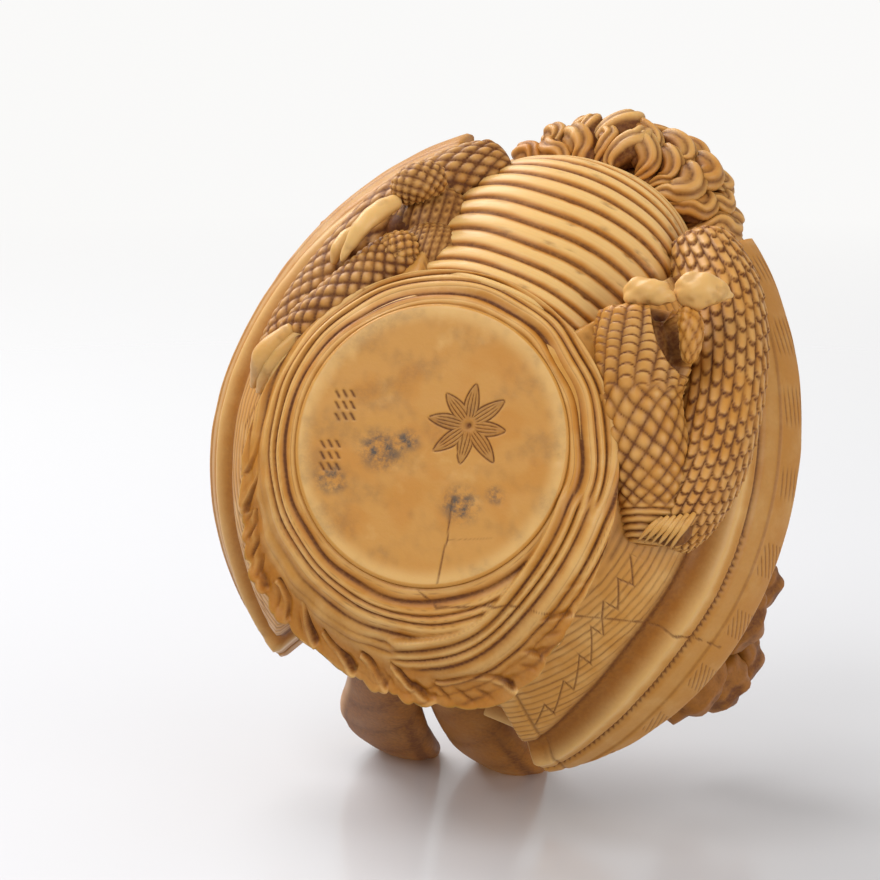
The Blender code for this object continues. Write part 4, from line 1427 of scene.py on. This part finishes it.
def sack_forms():
    """A bulging sack, gathered and tied at the neck."""
    middle = np.array((-0.10 * beam, 0.30 * length_aft, deck_height + 0.9 * sack_radius))

    def folds(u, v, spot):
        tones = Tones(u)
        pleat = np.sin(2 * math.pi * 11 * u + 3.0 * v) * smooth(v, 0.62, 0.97)
        sag = np.sin(2 * math.pi * 3 * u + 9.0 * v)
        tones.height = 0.35 * mm * pleat + 0.25 * mm * sag
        tones.stain_and_shade = 0.35 * smooth(-pleat, 0.2, 1.0) + 0.15 * smooth(-sag, 0.3, 1.0)
        tones.amber = np.full_like(u, 0.35)
        return tones

    body = ball(middle, (1.15 * sack_radius, 0.95 * sack_radius, 1.05 * sack_radius), (8, -10, 0))
    neck = middle + np.array((-0.1, -0.25, 1.05)) * sack_radius
    flare = neck + np.array((-0.1, -0.2, 0.28)) * sack_radius
    radii = [s * sack_radius for s in (0.5, 0.2, 0.4)]
    throat = tube((middle, neck, flare), radii, (1.0, 0.0, 0.0), end=0.05)
    return [wrapped("sack", 100, 70, body, folds), wrapped("sack_neck", 70, 40, throat, folds)]


def bale_forms():
    """Straw bales of rice: two side by side along the port rail and one on top, each roped twice."""
    half = bale_thickness / 2
    lie = unit(np.array((0.25, 1.0, 0.0))) * bale_length / 2

    def straw(u, v, spot):
        tones = Tones(u)
        blade = np.abs(np.sin(math.pi * 34 * u + 4 * v)) ** 0.6
        rope = sum(line_mark(v - where, 0.028) for where in (0.22, 0.5, 0.78))
        twist = np.sin(2 * math.pi * (26 * u + 30 * v))
        tones.height = 0.16 * mm * (blade - 0.5) + rope * (0.7 + 0.12 * twist) * mm
        tones.stain_and_shade = np.clip(0.45 * (1 - blade) + 0.25 * rope * (twist < -0.2), 0, 1)
        tones.amber = np.full_like(u, 0.35)
        tones.pale = 0.5 * np.clip(rope, 0, 1)
        return tones

    forms = []
    for k in range(3):
        row, step = divmod(k, 2)
        place = np.array((-0.33 * beam, -0.28 * length_forward, deck_height + half * (0.8 + 1.6 * row)))
        place[0] += (step + 0.5 * row) * 1.85 * half
        body = tube((place - lie, place, place + lie), (0.85 * half, half, 0.85 * half), (0, 0, 1), end=0.08)
        forms.append(wrapped(f"bale_{k}", 90, 56, body, straw))
    return forms


def treasure_forms():
    """A wishing jewel, rolled scrolls and a lucky mallet, on the starboard deck."""
    jewel = np.array((0.25 * beam, -0.37 * length_forward, deck_height + 0.75 * jewel_radius))
    forms = [wrapped("jewel", 44, 32, ball(jewel, [jewel_radius] * 3), smooth_horn(141, 0.8))]
    point = jewel + up * 1.7 * jewel_radius
    tip = tube((jewel, point), (0.85 * jewel_radius, 0.08 * jewel_radius), (0, 1, 0), end=0.1)
    forms.append(wrapped("jewel_point", 36, 30, tip, smooth_horn(143, 0.8)))

    def wound(u, v, spot):
        tones = plain_dress(145, 0.15, 0.3)(u, v, spot)
        seam = line_mark(u - 0.3, 0.02)
        tie = line_mark(v - 0.5, 0.035)
        tones.height += -0.15 * mm * seam + 0.3 * mm * tie
        tones.stain_and_shade = np.maximum(tones.stain_and_shade, 0.6 * seam)
        return tones

    for k in range(3):
        row, step = divmod(k, 2)
        lie = unit(np.array((1.0, 0.35 - 0.3 * row, 0.0))) * scroll_length / 2
        height = deck_height + (0.7 + 1.6 * row) * scroll_radius
        place = np.array((0.16 * beam, -0.06 * length_forward, height))
        place[1] += (step + 0.5 * row) * 1.9 * scroll_radius
        body = tube((place - lie, place + lie), [scroll_radius] * 2, (0, 0, 1), start=0.04, end=0.04)
        forms.append(wrapped(f"scroll_{k}", 40, 36, body, wound))

    def banded(u, v, spot):
        tones = plain_dress(147, 0.2, 0.4)(u, v, spot)
        bands = sum(line_mark(v - where, 0.03) for where in (0.18, 0.82))
        tones.height += 0.3 * mm * bands
        return tones

    mallet = np.array((0.20 * beam, 0.52 * length_aft, deck_height + 0.8 * mallet_radius))
    lie = unit(np.array((0.9, 0.3, 0.0))) * mallet_length / 2
    swell = (0.9 * mallet_radius, mallet_radius, 0.9 * mallet_radius)
    head = tube((mallet - lie, mallet, mallet + lie), swell, (0, 0, 1), start=0.1, end=0.1)
    forms.append(wrapped("mallet_head", 48, 40, head, banded))
    grip = mallet + np.array((0.1, -0.3, 1.9)) * mallet_radius
    handle = tube((mallet, grip), (0.26 * mallet_radius, 0.32 * mallet_radius), (1, 0, 0))
    forms.append(wrapped("mallet_handle", 24, 30, handle, banded))
    return forms


def coral_forms():
    """A knobbly branch of coral that leans out over the starboard rail."""

    def knobs(u, v, spot):
        tones = Tones(u)
        lump = mottle(spot, 2.2 * mm, 151)
        tones.height = 0.35 * mm * lump
        tones.stain_and_shade = np.clip(0.60 + 0.35 * smooth(-lump, 0.0, 1.0), 0, 1)
        tones.amber = np.full_like(u, 0.8)
        return tones

    forms = []
    for k in range(9):
        place = np.array((
            (0.385 + 0.045 * math.sin(2.4 * k)) * beam,
            (0.20 + 0.20 * math.cos(1.9 * k)) * length_aft,
            gunwale_height + (1.6 + 0.3 * k) * coral_radius,
        ))
        size = coral_radius * (1.0 - 0.04 * k)
        shape = ball(place, (size, 0.9 * size, 0.8 * size), (25 * k, 40 * k, 0))
        forms.append(wrapped(f"coral_{k}", 44, 28, shape, knobs))
    trunk = np.array((0.30 * beam, 0.20 * length_aft, 0.9 * deck_height))
    crown = trunk + np.array((0.06 * beam, 0, 4 * coral_radius))
    body = tube((trunk, crown), (1.3 * coral_radius, coral_radius), (1, 0, 0))
    forms.append(wrapped("coral_trunk", 44, 36, body, knobs))
    return forms


class OKIMONO_OT_load(bpy.types.Operator):
    """The load on deck: sack, rice bales, jewel, scrolls, mallet and coral"""

    bl_idname = "okimono.load"
    bl_label = "Load"

    def execute(self, context):
        material = ivory("ivory_load", warmth=0.66)
        finished(joined("sack", sack_forms()), material)
        finished(joined("bales", bale_forms()), material)
        finished(joined("treasures", treasure_forms()), material)
        finished(joined("coral", coral_forms()), material)
        return {"FINISHED"}


def stage_plane(name, size, matrix, colour, roughness, fade):
    """A flat stage sheet that is seen from its front alone, and that fades away from its middle."""
    deselect_all()
    bpy.ops.mesh.primitive_plane_add(size=size)
    sheet = bpy.context.active_object
    sheet.name = name
    sheet.matrix_world = matrix
    board = Board(name)
    board.shader.inputs["Base Color"].default_value = colour
    board.shader.inputs["Roughness"].default_value = roughness
    back = board.node("ShaderNodeNewGeometry", {}, {}, "Backfacing")
    place = board.node("ShaderNodeTexCoord", {}, {}, "Object")
    away = board.node("ShaderNodeVectorMath", {"operation": "LENGTH"}, {0: place}, "Value")
    gone = board.ramp(away * (1.0 / size), fade[0], fade[1])
    share = board.node("ShaderNodeMath", {"operation": "MAXIMUM"}, {0: back, 1: gone})
    clear = board.node("ShaderNodeBsdfTransparent", {}, {})
    solid = Wire(board, board.shader.outputs[0])
    mixed = board.node("ShaderNodeMixShader", {}, {0: share, 1: solid, 2: clear})
    output = board.tree.nodes["Material Output"]
    board.tree.links.new(mixed.socket, output.inputs["Surface"])
    sheet.data.materials.append(board.material)
    sheet.visible_shadow = False
    sheet.visible_diffuse = False
    return sheet


class OKIMONO_OT_stage(bpy.types.Operator):
    """The pale floor and card, the soft lights and the camera at the photograph's angle"""

    bl_idname = "okimono.stage"
    bl_label = "Stage"

    def execute(self, context):
        scene = bpy.context.scene
        ground = Matrix.Translation((0, 0, -0.05 * mm))
        floor = stage_plane("standing_floor", 1.2, ground, (0.86, 0.86, 0.87, 1), 0.5, (0.30, 0.5))
        floor.visible_glossy = False
        rise = Vector((-0.284, -0.907, -0.311)).normalized()
        right = camera_right.copy()
        away = rise.cross(right).normalized()
        right = away.cross(rise).normalized()
        touch = Vector((4.0, 31.6, 40.0)) * mm
        card = Matrix((right, away, rise)).transposed().to_4x4()
        card.translation = touch - 0.2 * mm * rise
        stage_plane("photo_card", 0.9, card, (0.68, 0.68, 0.70, 1), 0.20, (0.12, 0.45))
        forward = camera_right.cross(camera_down)
        # Each light's name, its place across, down and ahead of the camera, its size and its power
        lights = (
            ("key", -0.42, -0.50, -0.10, 0.60, 3.6),
            ("fill", 0.55, 0.05, -0.05, 0.50, 2.2),
            ("low_fill", -0.30, 0.45, 0.00, 0.55, 0.3),
            ("rim", -0.25, -0.45, 0.60, 0.40, 3.0),
        )
        for name, across, down, ahead, size, power in lights:
            deselect_all()
            place = camera_place + camera_right * across + camera_down * down + forward * ahead
            bpy.ops.object.light_add(type="AREA", location=place)
            lamp = bpy.context.active_object
            lamp.name = name
            lamp.data.size = size
            lamp.data.energy = power
            lamp.rotation_mode = "QUATERNION"
            lamp.rotation_quaternion = (object_middle - place).to_track_quat("-Z", "Y")
        world = bpy.data.worlds.new("studio")
        world.use_nodes = True
        scene.world = world
        nodes, links = world.node_tree.nodes, world.node_tree.links
        path = nodes.new("ShaderNodeLightPath")
        strength = nodes.new("ShaderNodeMapRange")
        strength.inputs["To Min"].default_value = surround_light
        strength.inputs["To Max"].default_value = surround_seen
        links.new(path.outputs["Is Camera Ray"], strength.inputs["Value"])
        links.new(strength.outputs["Result"], nodes["Background"].inputs["Strength"])
        nodes["Background"].inputs["Color"].default_value = (1.0, 0.995, 0.985, 1.0)
        camera = bpy.data.cameras.new("camera")
        camera.sensor_width = sensor_width
        camera.lens = camera_lens
        camera.clip_start = 0.01
        camera.clip_end = 20.0
        viewer = bpy.data.objects.new("camera", camera)
        scene.collection.objects.link(viewer)
        turn = Matrix((camera_right, -camera_down, -forward)).transposed().to_4x4()
        turn.translation = camera_place
        viewer.matrix_world = turn
        scene.camera = viewer
        scene.view_settings.view_transform = "Standard"
        return {"FINISHED"}


PIECES = (
    OKIMONO_OT_foot, OKIMONO_OT_waves, OKIMONO_OT_hull, OKIMONO_OT_stern_wings, OKIMONO_OT_breast,
    OKIMONO_OT_forelegs, OKIMONO_OT_head, OKIMONO_OT_beard, OKIMONO_OT_load, OKIMONO_OT_stage,
)


class OKIMONO_PT_carving(bpy.types.Panel):
    """Lists the operators and the settings"""

    bl_label = "Okimono"
    bl_space_type = "VIEW_3D"
    bl_region_type = "UI"
    bl_category = "Okimono"

    def draw(self, context):
        for name in CarvingSettings.__annotations__:
            self.layout.prop(context.scene.okimono_carving, name)
        for piece in PIECES:
            self.layout.operator(piece.bl_idname)


CLASSES = (CarvingSettings, *PIECES, OKIMONO_PT_carving)


def register():
    for each in CLASSES:
        bpy.utils.register_class(each)
    bpy.types.Scene.okimono_carving = bpy.props.PointerProperty(type=CarvingSettings)


def unregister():
    del bpy.types.Scene.okimono_carving
    for each in reversed(CLASSES):
        bpy.utils.unregister_class(each)


def main():
    register()
    for piece in PIECES:
        group, action = piece.bl_idname.split(".")
        if getattr(getattr(bpy.ops, group), action)() != {"FINISHED"}:
            raise RuntimeError(piece.bl_label + " wasn't made")
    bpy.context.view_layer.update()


if __name__ == "__main__":
    main()
